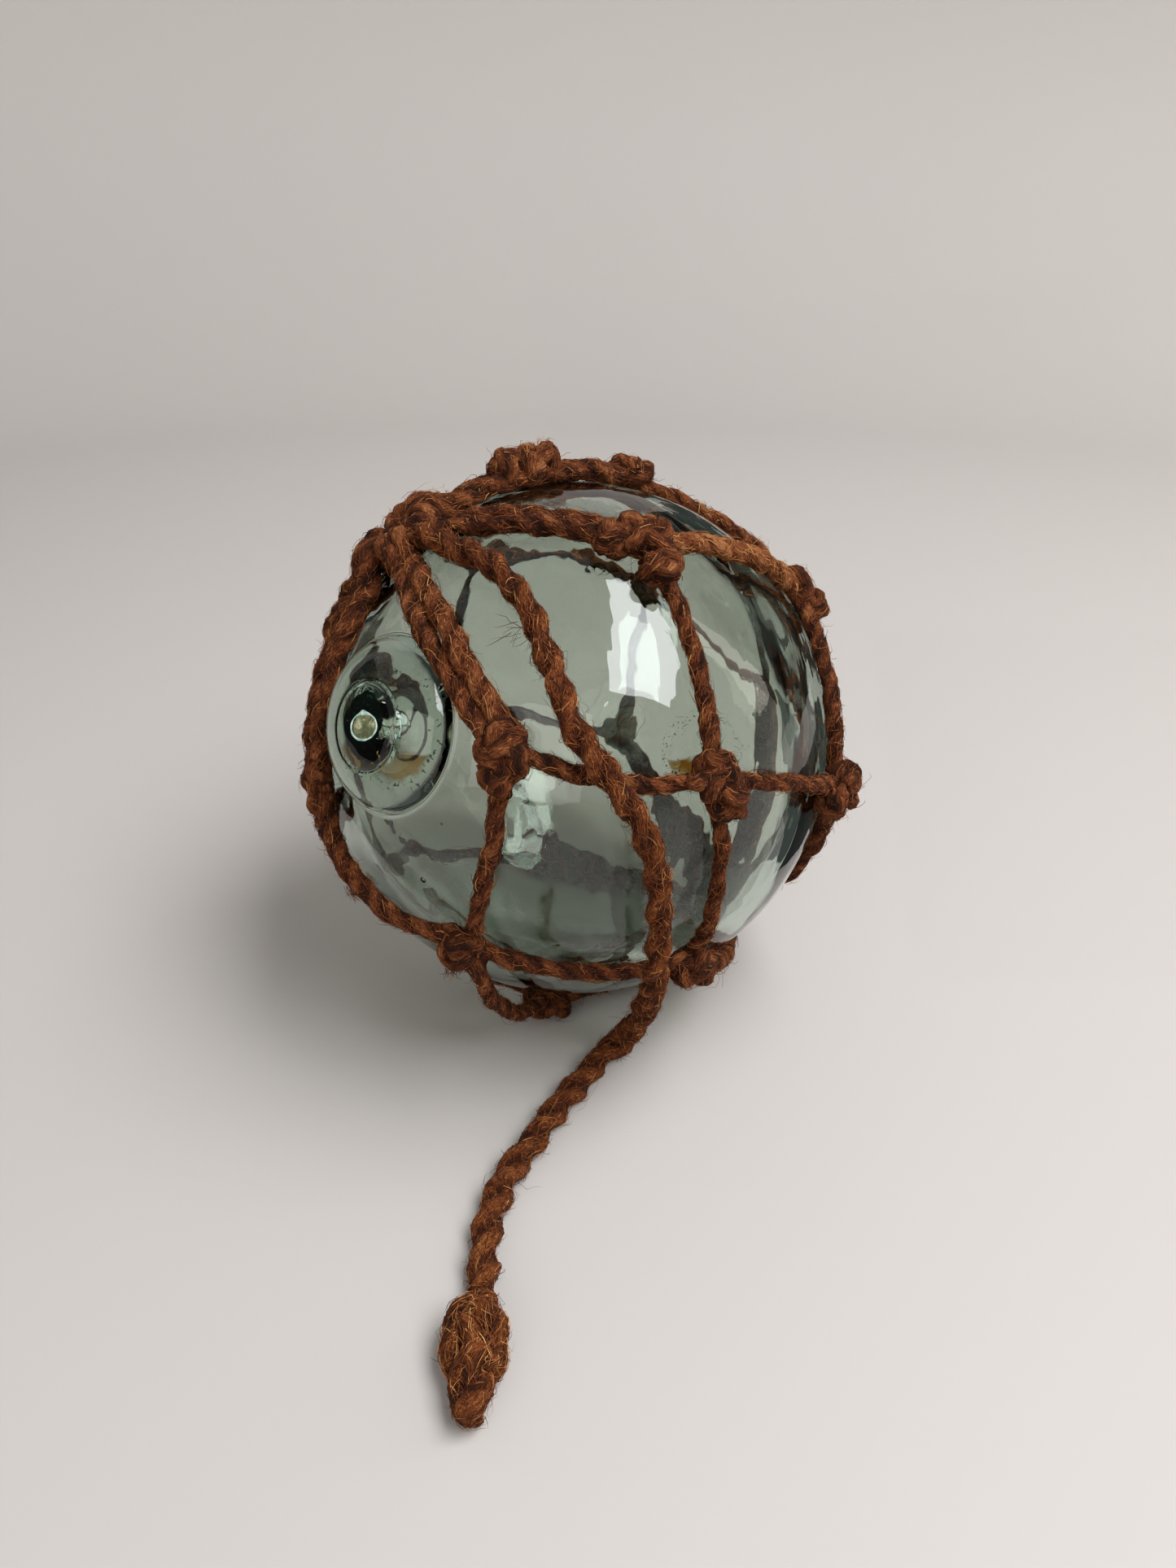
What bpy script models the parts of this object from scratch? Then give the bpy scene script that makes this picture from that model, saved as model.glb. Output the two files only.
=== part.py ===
"""A glass fishing float: a blown ball with its fused seal, in a knotted rope net with a lead rope.

Metres, +Z up. The origin is on the surface that the float rests on, straight under the ball's
centre, and the lead rope runs down the -Y side. The net has an axis of its own, which leans to -X:
a place on the net is a polar angle from its crown and an azimuth about that axis, in degrees.
"""

import math

import bmesh
import bpy
from mathutils import Matrix, Vector

# Driving dimensions
ball_radius = 0.076
seal_radius = 0.0228
seal_dome = 0.0110
cord_diameter = 0.0046
lead_diameter = 0.0072
clearance = 0.0003

# Overhand knots of the meshes: along the meridian, across it, and out from the glass
knot_length = 0.0160
knot_width = 0.0124
knot_thickness = 0.0105
resting_knot_thickness = 0.0118

# The two gathers where all the cords meet
gather_width = 0.0240
gather_thickness = 0.0175

# Bulky joins where two of the doubled cords are tied on
join_length = 0.0240
join_width = 0.0130
join_thickness = 0.0140

# The end knot of the lead rope, with its worn tail
end_knot_radius = 0.0080
end_tail_radius = 0.0062

# How far the rope is pressed flat where the float rests on it
rest_flat = 0.0007

# Directions, in degrees
crown_lean = 36.0
crown_heading = 184.5
seal_elevation = 25.0
seal_heading = 225.0

# Each ring of knots as polar angle and azimuth
upper_knots = ((52.5, 31), (58, 94), (52, 153), (55, 208), (54, 268), (54, 330))
middle_knots = ((89, 0), (88.5, 60), (87.5, 120), (91.5, 182), (89, 242), (89, 300))
lower_knots = ((129, 36), (122, 92), (122, 151), (122, 212), (122, 272), (128.5, 325))
resting_lower_knots = (0, 5)

# How far each mesh cord bows off the shortest line, in degrees, to its two middle knots in turn
upper_bows = ((0, -2), (2, -3), (1, 0.3), (6.2, 0), (0, 2), (-2, 0))
lower_bows = ((0, -1), (0.8, -1.5), (-0.5, 6.2), (0, 1), (-1, 0), (1, 0))

# How far the slack cords stand off the glass halfway, in metres: (ring, knot, side): height
slack = {("upper", 0, 1): 0.0050, ("lower", 0, 1): 0.0055}

# Doubled cords with a join on them, as the crown cord's number and the join's polar angle
joins = ((3, 31.0), (5, 35.0))

# Route of the lead rope from the crown down the ball's front, and over the surface to its end knot
lead_route = (
    (-0.0412, -0.0134, 0.1471), (-0.0345, -0.0212, 0.1480), (-0.0268, -0.0300, 0.1482),
    (-0.0195, -0.0368, 0.1474), (-0.0110, -0.0475, 0.1416), (-0.0050, -0.0592, 0.1318),
    (0.0005, -0.0695, 0.1205), (0.0048, -0.0750, 0.1160), (0.0098, -0.0795, 0.1105),
    (0.0160, -0.0818, 0.1010), (0.0202, -0.0825, 0.0885), (0.0215, -0.0832, 0.0740),
    (0.0212, -0.0826, 0.0580), (0.0208, -0.0752, 0.0420), (0.0200, -0.0645, 0.0275),
    (0.0180, -0.0570, 0.0150), (0.0135, -0.0555, 0.0060), (0.0080, -0.0590, 0.0038),
    (0.0037, -0.0670, 0.0038), (-0.0030, -0.0765, 0.0038), (-0.0110, -0.0915, 0.0038),
    (-0.0180, -0.1050, 0.0038), (-0.0212, -0.1210, 0.0038), (-0.0212, -0.1376, 0.0038),
)
end_knot_start = (-0.0212, -0.1380)
end_knot_tip = (-0.0216, -0.1715)

cord_radius = cord_diameter / 2
lead_radius = lead_diameter / 2
cord_height = clearance + cord_radius

parts = bpy.data.collections.new("glass float")
cutters = bpy.data.collections.new("cutters")


def clear_scene():
    for leftover in list(bpy.data.objects):
        bpy.data.objects.remove(leftover, do_unlink=True)


def make_material(name, colour, roughness, alpha=1.0):
    material = bpy.data.materials.new(name)
    material.use_nodes = True
    shader = material.node_tree.nodes["Principled BSDF"]
    shader.inputs["Base Color"].default_value = (*colour, 1.0)
    shader.inputs["Roughness"].default_value = roughness
    shader.inputs["Metallic"].default_value = 0.0
    shader.inputs["Alpha"].default_value = alpha
    return material


def add_object(name, mesh, material):
    mesh.shade_smooth()
    mesh.set_sharp_from_angle(angle=math.radians(50))
    mesh.materials.clear()
    mesh.materials.append(material)
    obj = bpy.data.objects.new(name, mesh)
    parts.objects.link(obj)
    return obj


def hide_cutter(obj):
    parts.objects.unlink(obj)
    cutters.objects.link(obj)
    obj.hide_render = True
    obj.display_type = "WIRE"
    return obj


def add_boolean(obj, other, operation):
    modifier = obj.modifiers.new(f"{operation.lower()} {other.name}", "BOOLEAN")
    modifier.operation = operation
    modifier.object = other
    modifier.solver = "EXACT"


# Directions and places on the net

net_turn = Matrix.Rotation(math.radians(crown_heading), 3, "Z") @ Matrix.Rotation(
    math.radians(crown_lean), 3, "Y"
)

seal_turn = Matrix.Rotation(math.radians(seal_heading), 3, "Z") @ Matrix.Rotation(
    math.radians(90 - seal_elevation), 3, "Y"
)


def net_direction(polar, azimuth):
    """Unit vector from the ball's centre to a place on the net."""
    p = math.radians(polar)
    a = math.radians(azimuth)
    return net_turn @ Vector((math.sin(p) * math.cos(a), math.sin(p) * math.sin(a), math.cos(p)))


def net_frame(polar, azimuth):
    """Axes at a place on the net: X runs away from the crown, Z points out of the ball."""
    out = net_direction(polar, azimuth)
    away = net_direction(polar + 90, azimuth)
    return Matrix((away, out.cross(away), out)).transposed()


def knot_half_sizes(length, width, thickness):
    """Half sizes of a knot, whose middle is level with the middle of the cords that enter it."""
    return Vector((length / 2, width / 2, thickness - cord_radius))


def depth_below_centre(polar, azimuth, half_sizes):
    """How far below the ball's centre a round knot reaches."""
    down = (net_frame(polar, azimuth).transposed() @ Vector((0, 0, -1)))
    reach = math.sqrt(sum((half_sizes[i] * down[i]) ** 2 for i in range(3)))
    return reach - net_direction(polar, azimuth).z * (ball_radius + cord_height)


mesh_knot = knot_half_sizes(knot_length, knot_width, knot_thickness)
resting_knot = knot_half_sizes(knot_length, knot_width, resting_knot_thickness)
gather_knot = knot_half_sizes(gather_width, gather_width, gather_thickness)
join_knot = knot_half_sizes(join_length, join_width, join_thickness)

# The float rests on two lower knots and the far gather, each pressed flat
centre_height = min(
    [depth_below_centre(*lower_knots[k], resting_knot) for k in resting_lower_knots]
    + [depth_below_centre(180, 0, gather_knot)]
) - rest_flat
ball_centre = Vector((0, 0, centre_height))


# Shapes

def turned_ball(name, material, grow=0.0):
    """The ball and its fused seal, turned about the seal's own axis; grow is for its cutter."""
    radius = ball_radius + grow
    rim_radius = seal_radius + grow
    rim_level = math.sqrt(radius**2 - rim_radius**2)
    rim_angle = math.asin(rim_radius / radius)
    profile = []
    dome_steps = 5
    for i in range(dome_steps + 1):
        turn = math.radians(90 * i / dome_steps)
        height = (seal_dome + grow) * math.cos(turn)
        profile.append((rim_radius * math.sin(turn), rim_level + height))
    arc_steps = 17
    for i in range(1, arc_steps + 1):
        turn = rim_angle + (math.pi - rim_angle) * i / arc_steps
        profile.append((radius * math.sin(turn), radius * math.cos(turn)))
    profile[0] = (0, profile[0][1])
    profile[-1] = (0, -radius)
    mesh = bpy.data.meshes.new(name)
    edges = [(i, i + 1) for i in range(len(profile) - 1)]
    mesh.from_pydata([(x, 0, z) for x, z in profile], edges, [])
    mesh.materials.append(material)
    ball = bpy.data.objects.new(name, mesh)
    parts.objects.link(ball)
    ball.location = ball_centre
    ball.rotation_euler = seal_turn.to_euler()
    screw = ball.modifiers.new("turn", "SCREW")
    screw.steps = 32
    screw.render_steps = 32
    screw.use_merge_vertices = True
    screw.merge_threshold = 0.00001
    screw.use_smooth_shade = True
    return ball


def round_knot(name, polar, azimuth, half_sizes, material, grow=0.0, rings=(10, 7)):
    """A knot as a rounded lump; grow makes it larger all round, for the cutter of its cords."""
    mesh = bpy.data.meshes.new(name)
    shape = bmesh.new()
    bmesh.ops.create_uvsphere(shape, u_segments=rings[0], v_segments=rings[1], radius=1)
    shape.to_mesh(mesh)
    shape.free()
    mesh.transform(Matrix.Diagonal([*(size + grow for size in half_sizes), 1]))
    mesh.transform(net_frame(polar, azimuth).to_4x4())
    obj = add_object(name, mesh, material)
    obj.location = ball_centre + net_direction(polar, azimuth) * (ball_radius + cord_height)
    return obj


def tube_mesh(name, points, radius, radii=None):
    """A closed round tube through the points, as a mesh with its caps welded on."""
    curve = bpy.data.curves.new(name, "CURVE")
    curve.dimensions = "3D"
    curve.bevel_depth = radius
    curve.bevel_resolution = 2
    curve.use_fill_caps = True
    spline = curve.splines.new("POLY")
    spline.points.add(len(points) - 1)
    for i, point in enumerate(points):
        spline.points[i].co = (*point, 1)
        spline.points[i].radius = radii[i] / radius if radii else 1
    guide = bpy.data.objects.new(name, curve)
    parts.objects.link(guide)
    bpy.context.view_layer.update()
    evaluated = guide.evaluated_get(bpy.context.evaluated_depsgraph_get())
    mesh = bpy.data.meshes.new_from_object(evaluated)
    bpy.data.objects.remove(guide)
    shape = bmesh.new()
    shape.from_mesh(mesh)
    bmesh.ops.remove_doubles(shape, verts=shape.verts, dist=0.00001)
    bmesh.ops.recalc_face_normals(shape, faces=shape.faces)
    shape.to_mesh(mesh)
    shape.free()
    return mesh


def cord_reach(way, half_width):
    """Distance from the ball's centre to the middle of a cord that clears the ball and its seal."""
    along = way.dot(seal_turn.col[2])
    across = math.sqrt(max(0, 1 - along**2))
    width = seal_radius + half_width + clearance
    height = seal_dome + cord_height
    level = math.sqrt(ball_radius**2 - seal_radius**2)
    # The far root of the quadratic for a ray from the ball's centre and the grown dome
    a = (across / width) ** 2 + (along / height) ** 2
    b = along * level / height**2
    c = (level / height) ** 2 - 1
    over_ball = ball_radius + cord_height
    if along < 0 or b**2 < a * c:
        return over_ball
    return max(over_ball, (b + math.sqrt(b**2 - a * c)) / a)


def mesh_cord(name, start, end, bow, lift, cutting, material):
    """One cord of a mesh, laid on the ball from knot to knot and cut back to both knots."""
    a = net_direction(*start)
    b = net_direction(*end)
    side = a.cross(b).normalized() * math.tan(math.radians(bow))
    steps = 6
    points = []
    for i in range(steps + 1):
        t = i / steps
        swell = math.sin(math.pi * t)
        way = (a.slerp(b, t) + side * swell).normalized()
        points.append(way * (cord_reach(way, cord_radius) + lift * swell))
    obj = add_object(name, tube_mesh(name, points, cord_radius), material)
    obj.location = ball_centre
    for cutter in cutting:
        add_boolean(obj, cutter, "DIFFERENCE")
    return obj


def doubled_cord(name, start, end, cutting, material):
    """Two cords side by side between a gather and a knot, as one tube twice as wide as it is high."""
    a = net_direction(*start)
    b = net_direction(*end)
    angle = a.angle(b)
    across = a.cross(b).normalized()
    steps = 7
    points = []
    for i in range(steps + 1):
        turn = angle * i / steps
        reach = cord_reach(a.slerp(b, i / steps), cord_diameter)
        points.append((math.sin(turn) * reach, 0, math.cos(turn) * reach))
    mesh = tube_mesh(name, points, cord_radius)
    mesh.transform(Matrix.Diagonal((1, 2, 1, 1)))
    axes = Matrix((across.cross(a), across, a)).transposed()
    mesh.transform(axes.to_4x4())
    obj = add_object(name, mesh, material)
    obj.location = ball_centre
    for cutter in cutting:
        add_boolean(obj, cutter, "DIFFERENCE")
    return obj


def smooth_route(route, spacing):
    """Points at even spacing on a smooth curve through the route's own points."""
    knots = [Vector(point) for point in route]
    knots = [knots[0] * 2 - knots[1], *knots, knots[-1] * 2 - knots[-2]]
    dense = []
    for i in range(1, len(knots) - 2):
        p0, p1, p2, p3 = knots[i - 1 : i + 3]
        for step in range(20):
            t = step / 20
            dense.append(
                (p1 * 2 + (p2 - p0) * t + (p0 * 2 - p1 * 5 + p2 * 4 - p3) * t**2
                 + (p1 * 3 - p0 - p2 * 3 + p3) * t**3) / 2
            )
    dense.append(knots[-2])
    lengths = [0.0]
    for p, q in zip(dense, dense[1:]):
        lengths.append(lengths[-1] + (q - p).length)
    count = round(lengths[-1] / spacing)
    points = []
    at = 0
    for i in range(count + 1):
        wanted = lengths[-1] * i / count
        while at < len(dense) - 2 and lengths[at + 1] < wanted:
            at += 1
        share = (wanted - lengths[at]) / (lengths[at + 1] - lengths[at])
        points.append(dense[at].lerp(dense[at + 1], share))
    return points


def lead_rope(material, crown_cutter):
    """The rope of the float, which leaves the crown gather between two of the doubled cords."""
    points = smooth_route(lead_route, lead_diameter)
    rope = add_object("lead_rope", tube_mesh("lead_rope", points, lead_radius), material)
    add_boolean(rope, crown_cutter, "DIFFERENCE")
    return rope


def lead_rope_end_knot(material):
    """The stopper knot and worn tail; each of its rings lies on the surface."""
    start = Vector(end_knot_start)
    run = Vector(end_knot_tip) - start
    shape = (
        (0.00, lead_radius), (0.07, end_knot_radius * 0.80), (0.18, end_knot_radius * 0.97),
        (0.30, end_knot_radius), (0.42, end_knot_radius * 0.95), (0.55, end_tail_radius * 1.05),
        (0.70, end_tail_radius), (0.84, end_tail_radius * 0.90), (0.94, end_tail_radius * 0.66),
        (1.00, end_tail_radius * 0.30),
    )
    points = [(*(start + run * share), 0) for share, radius in shape]
    radii = [radius for share, radius in shape]
    mesh = tube_mesh("lead_rope_end_knot", points, lead_radius, radii)
    for vertex in mesh.vertices:
        share = (vertex.co.xy - start).dot(run) / run.length_squared
        ring = min(shape, key=lambda ring: abs(ring[0] - share))
        vertex.co.z += ring[1] + clearance / 2
    return add_object("lead_rope_end_knot", mesh, material)


def build():
    clear_scene()
    bpy.context.scene.collection.children.link(parts)
    bpy.context.scene.collection.children.link(cutters)
    glass = make_material("pale green glass", (0.62, 0.78, 0.70), 0.05, 0.35)
    rope = make_material("palm fibre net cord", (0.16, 0.055, 0.022), 0.90)
    lead = make_material("palm fibre lead rope", (0.17, 0.068, 0.036), 0.90)

    turned_ball("glass_ball", glass)
    lead_rope_end_knot(lead)

    # The glass as a cutter, so that every knot hugs it with a clearance
    glass_cutter = hide_cutter(turned_ball("glass cutter", glass, grow=clearance))

    # The surface as a cutter, which presses the resting knots flat
    floor_size = ball_radius * 4
    shape = bmesh.new()
    bmesh.ops.create_cube(shape, size=floor_size)
    mesh = bpy.data.meshes.new("surface cutter")
    shape.to_mesh(mesh)
    shape.free()
    surface_cutter = hide_cutter(add_object("surface cutter", mesh, glass))
    surface_cutter.location = (0, 0, -floor_size / 2)

    def add_knot(name, place, half_sizes, rings=(10, 7), resting=False):
        knot = round_knot(name, *place, half_sizes, rope, rings=rings)
        add_boolean(knot, glass_cutter, "DIFFERENCE")
        if resting:
            add_boolean(knot, surface_cutter, "DIFFERENCE")
        cutter = round_knot(f"{name} cutter", *place, half_sizes, rope, clearance, rings)
        return hide_cutter(cutter)

    crown = (0, 0)
    foot = (180, 0)
    gather_rings = (16, 10)
    crown_cutter = add_knot("net_crown_gather", crown, gather_knot, gather_rings)
    foot_cutter = add_knot("net_foot_gather", foot, gather_knot, gather_rings, resting=True)
    lead_rope(lead, crown_cutter)
    middle_cutters = [
        add_knot(f"net_middle_knot_{k + 1}", place, mesh_knot)
        for k, place in enumerate(middle_knots)
    ]

    rings = (
        ("upper", upper_knots, upper_bows, crown, crown_cutter, ()),
        ("lower", lower_knots, lower_bows, foot, foot_cutter, resting_lower_knots),
    )
    for ring, places, bows, pole, pole_cutter, resting in rings:
        for k, place in enumerate(places):
            half_sizes = resting_knot if k in resting else mesh_knot
            knot_cutter = add_knot(
                f"net_{ring}_knot_{k + 1}", place, half_sizes, resting=k in resting
            )
            pole_side = (pole[0], place[1])
            doubled_cord(
                f"net_{ring}_doubled_cord_{k + 1}", pole_side, place,
                (pole_cutter, knot_cutter), rope,
            )
            for side in (0, 1):
                m = (k + side) % len(middle_knots)
                mesh_cord(
                    f"net_{ring}_cord_{k + 1}{'ab'[side]}", place, middle_knots[m],
                    bows[k][side], slack.get((ring, k, side), 0),
                    (knot_cutter, middle_cutters[m]), rope,
                )

    # The joins become one body with the doubled cord that they sit on
    for k, polar in joins:
        cord = bpy.data.objects[f"net_upper_doubled_cord_{k + 1}"]
        place = (polar, upper_knots[k][1])
        join = hide_cutter(round_knot(f"join {k + 1}", *place, join_knot, rope))
        add_boolean(cord, join, "UNION")
        add_boolean(cord, glass_cutter, "DIFFERENCE")


build()
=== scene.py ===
import math

import bpy
import numpy as np
from mathutils import Matrix


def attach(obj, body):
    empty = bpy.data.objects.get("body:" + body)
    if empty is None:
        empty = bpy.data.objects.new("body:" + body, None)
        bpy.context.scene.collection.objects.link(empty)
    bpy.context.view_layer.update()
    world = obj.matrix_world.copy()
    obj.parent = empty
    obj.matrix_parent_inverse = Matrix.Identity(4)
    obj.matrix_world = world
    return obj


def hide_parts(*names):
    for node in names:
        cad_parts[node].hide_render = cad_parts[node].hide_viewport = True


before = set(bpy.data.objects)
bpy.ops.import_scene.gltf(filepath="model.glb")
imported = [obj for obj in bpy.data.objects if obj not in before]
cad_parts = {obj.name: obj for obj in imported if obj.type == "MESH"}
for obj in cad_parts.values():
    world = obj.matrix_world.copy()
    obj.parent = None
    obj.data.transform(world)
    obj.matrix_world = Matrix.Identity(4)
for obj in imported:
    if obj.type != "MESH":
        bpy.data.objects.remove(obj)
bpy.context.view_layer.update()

mm = 0.001

# Sizes and places that the whole float shares, in metres and degrees, as in the solids
ball = {
    "centre": np.array([0.0, 0.0, 0.077065]),
    "radius": 76 * mm,
    "wall": 7.0 * mm,
    "sealRadius": 22.8 * mm,
    "sealDome": 11.0 * mm,
    "sealElevation": 25.0,
    "sealHeading": 225.0,
}
# How far the seal's rim lies from the ball's middle
sealLevel = math.sqrt(ball["radius"] ** 2 - ball["sealRadius"] ** 2)
net = {
    "lean": 36.0,
    "heading": 184.5,
    "cordRadius": 2.3 * mm,
    "upper": ((52.5, 31), (58, 94), (52, 153), (55, 208), (54, 268), (54, 330)),
    "middle": ((89, 0), (88.5, 60), (87.5, 120), (91.5, 182), (89, 242), (89, 300)),
    "lower": ((129, 36), (122, 92), (122, 151), (122, 212), (122, 272), (128.5, 325)),
    "upperBows": ((0, -2), (2, -3), (1, 0.3), (6.2, 0), (0, 2), (-2, 0)),
    "lowerBows": ((0, -1), (0.8, -1.5), (-0.5, 6.2), (0, 1), (-1, 0), (1, 0)),
    "slack": {("upper", 0, 1): 5.0 * mm, ("lower", 0, 1): 5.5 * mm},
    # By ring and place: how far the pair parts, how thick it is, how pale one cord is, as painted light on the lit
    # cords, and how heavy
    "gaps": {("upper", 1): 0.9 * mm},
    "thick": {("upper", 0): 1.2, ("upper", 1): 1.12, ("upper", 3): 1.2, ("upper", 5): 1.05},
    "tones": {("upper", 2, 1): 0.95, ("upper", 3, 0): 0.4},
    "pairTones": {("upper", 1, 1): 0.35, ("upper", 3, 1): 0.2},
    "heavy": {("upper", 0, 0): 1.25, ("upper", 0, 1): 1.2, ("upper", 2, 1): 1.4, ("lower", 1, 1): 0.95},
    # How high the pairs rise over each gather's ring
    "humps": {0: 5.0 * mm, 180: 5.6 * mm},
}


def toLinear(code):
    # sRGB hex to linear: c / 12.92 below 0.04045, else ((c + 0.055) / 1.055) ** 2.4
    found = [int(code[i : i + 2], 16) / 255 for i in (1, 3, 5)]
    return (*[c / 12.92 if c < 0.04045 else ((c + 0.055) / 1.055) ** 2.4 for c in found], 1.0)


def addNode(tree, kind, settings=None, **inputs):
    # One node with its settings; an input is a value, a socket, or a node for its first output
    made = tree.nodes.new("ShaderNode" + kind)
    for key, value in (settings or {}).items():
        if key != "stops":
            setattr(made, key, value)
            continue
        # A colour ramp's stops are (place, hex) pairs
        elements = made.color_ramp.elements
        while len(elements) < len(value):
            elements.new(0.5)
        for element, (place, code) in zip(elements, value):
            element.position = place
            element.color = toLinear(code)
    for key, value in inputs.items():
        socket = made.inputs[int(key[1:]) if key[1:].isdigit() else key.replace("_", " ")]
        if isinstance(value, bpy.types.Node):
            value = value.outputs[0]
        if isinstance(value, bpy.types.NodeSocket):
            tree.links.new(value, socket)
        else:
            socket.default_value = value
    return made


def newMaterial(name):
    made = bpy.data.materials.new(name)
    made.use_nodes = True
    made.node_tree.nodes.clear()
    return made, made.node_tree


# Directions on the net and on the seal

def turnAbout(axis, degrees):
    a = math.radians(degrees)
    c, s = math.cos(a), math.sin(a)
    if axis == "Y":
        return np.array([[c, 0, s], [0, 1, 0], [-s, 0, c]])
    return np.array([[c, -s, 0], [s, c, 0], [0, 0, 1]])


netTurn = turnAbout("Z", net["heading"]) @ turnAbout("Y", net["lean"])
sealTurn = turnAbout("Z", ball["sealHeading"]) @ turnAbout("Y", 90 - ball["sealElevation"])


def netDirection(polar, azimuth):
    # Unit vector at a polar angle from the crown and an azimuth about the net's axis
    p, a = np.radians(polar), np.radians(azimuth)
    flat = np.stack([np.sin(p) * np.cos(a), np.sin(p) * np.sin(a), np.cos(p) + 0 * a], axis=-1)
    return flat @ netTurn.T


def unit(v):
    return v / np.maximum(np.linalg.norm(v, axis=-1, keepdims=True), 1e-12)


def netFrame(polar, azimuth):
    # Columns: away from the crown, across, out of the ball
    out = netDirection(polar, azimuth)
    away = netDirection(polar + 90, azimuth)
    return np.stack([away, np.cross(out, away), out], axis=1)


# Paths

def smoothPath(points, spacing, closed=False):
    # A Catmull-Rom curve through the points, then resampled to even spacing
    p = np.asarray(points, float)
    if closed:
        p = np.concatenate([p[-1:], p, p[:2]])
    else:
        p = np.concatenate([2 * p[:1] - p[1:2], p, 2 * p[-1:] - p[-2:-1]])
    t = (np.arange(24) / 24)[None, :, None]
    a, b, c, d = (p[k : len(p) - 3 + k][:, None, :] for k in range(4))
    dense = (2 * b + (c - a) * t + (2 * a - 5 * b + 4 * c - d) * t**2 + (3 * b - a - 3 * c + d) * t**3) / 2
    dense = np.concatenate([dense.reshape(-1, 3), p[-2:-1]])
    length = np.concatenate([[0], np.cumsum(np.linalg.norm(np.diff(dense, axis=0), axis=1))])
    count = max(int(round(length[-1] / spacing)), 4)
    wanted = length[-1] * np.arange(count + (0 if closed else 1)) / count
    return np.stack([np.interp(wanted, length, dense[:, k]) for k in range(3)], axis=1)


def pathFrame(path, hint, closed=False):
    # Tangent, a normal as near the hint as it can be, and the third axis, at each ring
    if closed:
        tangent = unit(np.roll(path, -1, 0) - np.roll(path, 1, 0))
    else:
        tangent = unit(np.gradient(path, axis=0))
    hint = np.broadcast_to(hint, path.shape)
    normal = unit(hint - (hint * tangent).sum(1, keepdims=True) * tangent)
    return tangent, normal, np.cross(tangent, normal)


def waves(seed, along, around, count, slow):
    # A sum of cosines that closes around the cord, each with its own pace along it
    draw = np.random.default_rng(seed)
    total = np.zeros(np.broadcast(along, around).shape)
    for _ in range(count):
        turns = draw.integers(0, 4)
        pace = draw.uniform(-1, 1) * 2 * math.pi / slow
        total += np.cos(turns * around + pace * along + draw.uniform(0, 6.28))
    return total / math.sqrt(count)


# Twisted fibre rope: the outline is the outer edge of its plies, which turn as it goes

def twistedRope(path, hint, look, seed, closed=False, swell=None):
    # Ring radius = offset |cos f| + sqrt(ply^2 - (offset sin f)^2), f turning once a pitch
    tangent, normal, across = pathFrame(path, hint, closed)
    step = np.linalg.norm(np.diff(path, axis=0, append=path[:1] if closed else path[-1:]), axis=1)
    along = np.concatenate([[0], np.cumsum(step)[:-1]])
    whole = along[-1] + step[-1]
    pitch = look["pitch"]
    if closed:
        pitch = whole / max(round(whole / pitch * 2) / 2, 0.5)
    angle = 2 * math.pi * np.arange(look["round"]) / look["round"]
    s, th = along[:, None], angle[None, :]
    turn = th - 2 * math.pi * s / pitch - look.get("phase", 0) - seed
    offset, ply = look["offset"], look["ply"]
    radius = offset * np.abs(np.cos(turn)) + np.sqrt(np.maximum(ply**2 - (offset * np.sin(turn)) ** 2, 0))
    least = math.sqrt(max(ply**2 - offset**2, 0))
    # Groove is 1 deep between the plies, and the rope material paints it darker there: painted shade
    groove = 1 - (radius - least) / max(offset + ply - least, 1e-9)
    rough = look["rough"]
    coarse, small = waves(seed + 11, s, th, 9, 9 * mm), waves(seed + 12, s, turn * 2, 9, 3.2 * mm)
    radius = radius * (1 + rough * coarse + rough * 0.8 * small)
    fine = 0.5 * np.cos(7 * turn + 900 * s + seed) + 0.5 * np.cos(11 * turn - 700 * s + seed * 2)
    radius = radius + look["yarn"] * fine * (0.6 + 0.5 * waves(seed + 13, s, turn, 5, 5 * mm))
    radius = radius * (1 + look["uneven"] * waves(seed + 14, s, 0 * s, 6, 14 * mm))
    if swell is not None:
        radius = radius * swell[:, None]
    points = path[:, None] + radius[..., None] * (
        np.cos(th)[..., None] * normal[:, None] + np.sin(th)[..., None] * across[:, None]
    )
    lean = th - 2 * math.pi * s / (pitch * 2.4)
    # Each rope's fibres start at their own place, 37 mm on from the last rope's
    runs = np.broadcast_to(s / mm, radius.shape) + 37.0 * seed
    lay = np.stack([radius * np.cos(lean) / mm, radius * np.sin(lean) / mm, runs], axis=-1)
    tone = np.full(radius.shape, look.get("tone", 0.0))
    return {"points": points, "lay": lay, "groove": groove, "tone": tone, "middle": path, "closed": closed}


def gridMesh(points, closed=False, poles=None, turned=False):
    # Quads on a grid that closes around, and along if closed, or a fan to a pole at each end
    rows, around = points.shape[:2]
    i, j = np.arange(rows if closed else rows - 1)[:, None], np.arange(around)[None, :]
    up, side = (i + 1) % rows, (j + 1) % around
    quads = np.stack([i * around + j, i * around + side, up * around + side, up * around + j], axis=-1).reshape(-1, 4)
    co, tris = points.reshape(-1, 3), np.zeros((0, 3), int)
    if poles is not None:
        base, last = (rows - 1) * around, np.full(around, rows * around + 1)
        tris = np.concatenate([
            np.stack([side[0], j[0], last - 1], axis=1), np.stack([base + j[0], base + side[0], last], axis=1),
        ])
        co = np.concatenate([co, poles])
    if turned:
        quads, tris = quads[:, [0, 3, 2, 1]], tris[:, ::-1]
    return {"co": co, "quads": quads, "tris": tris}


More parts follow.
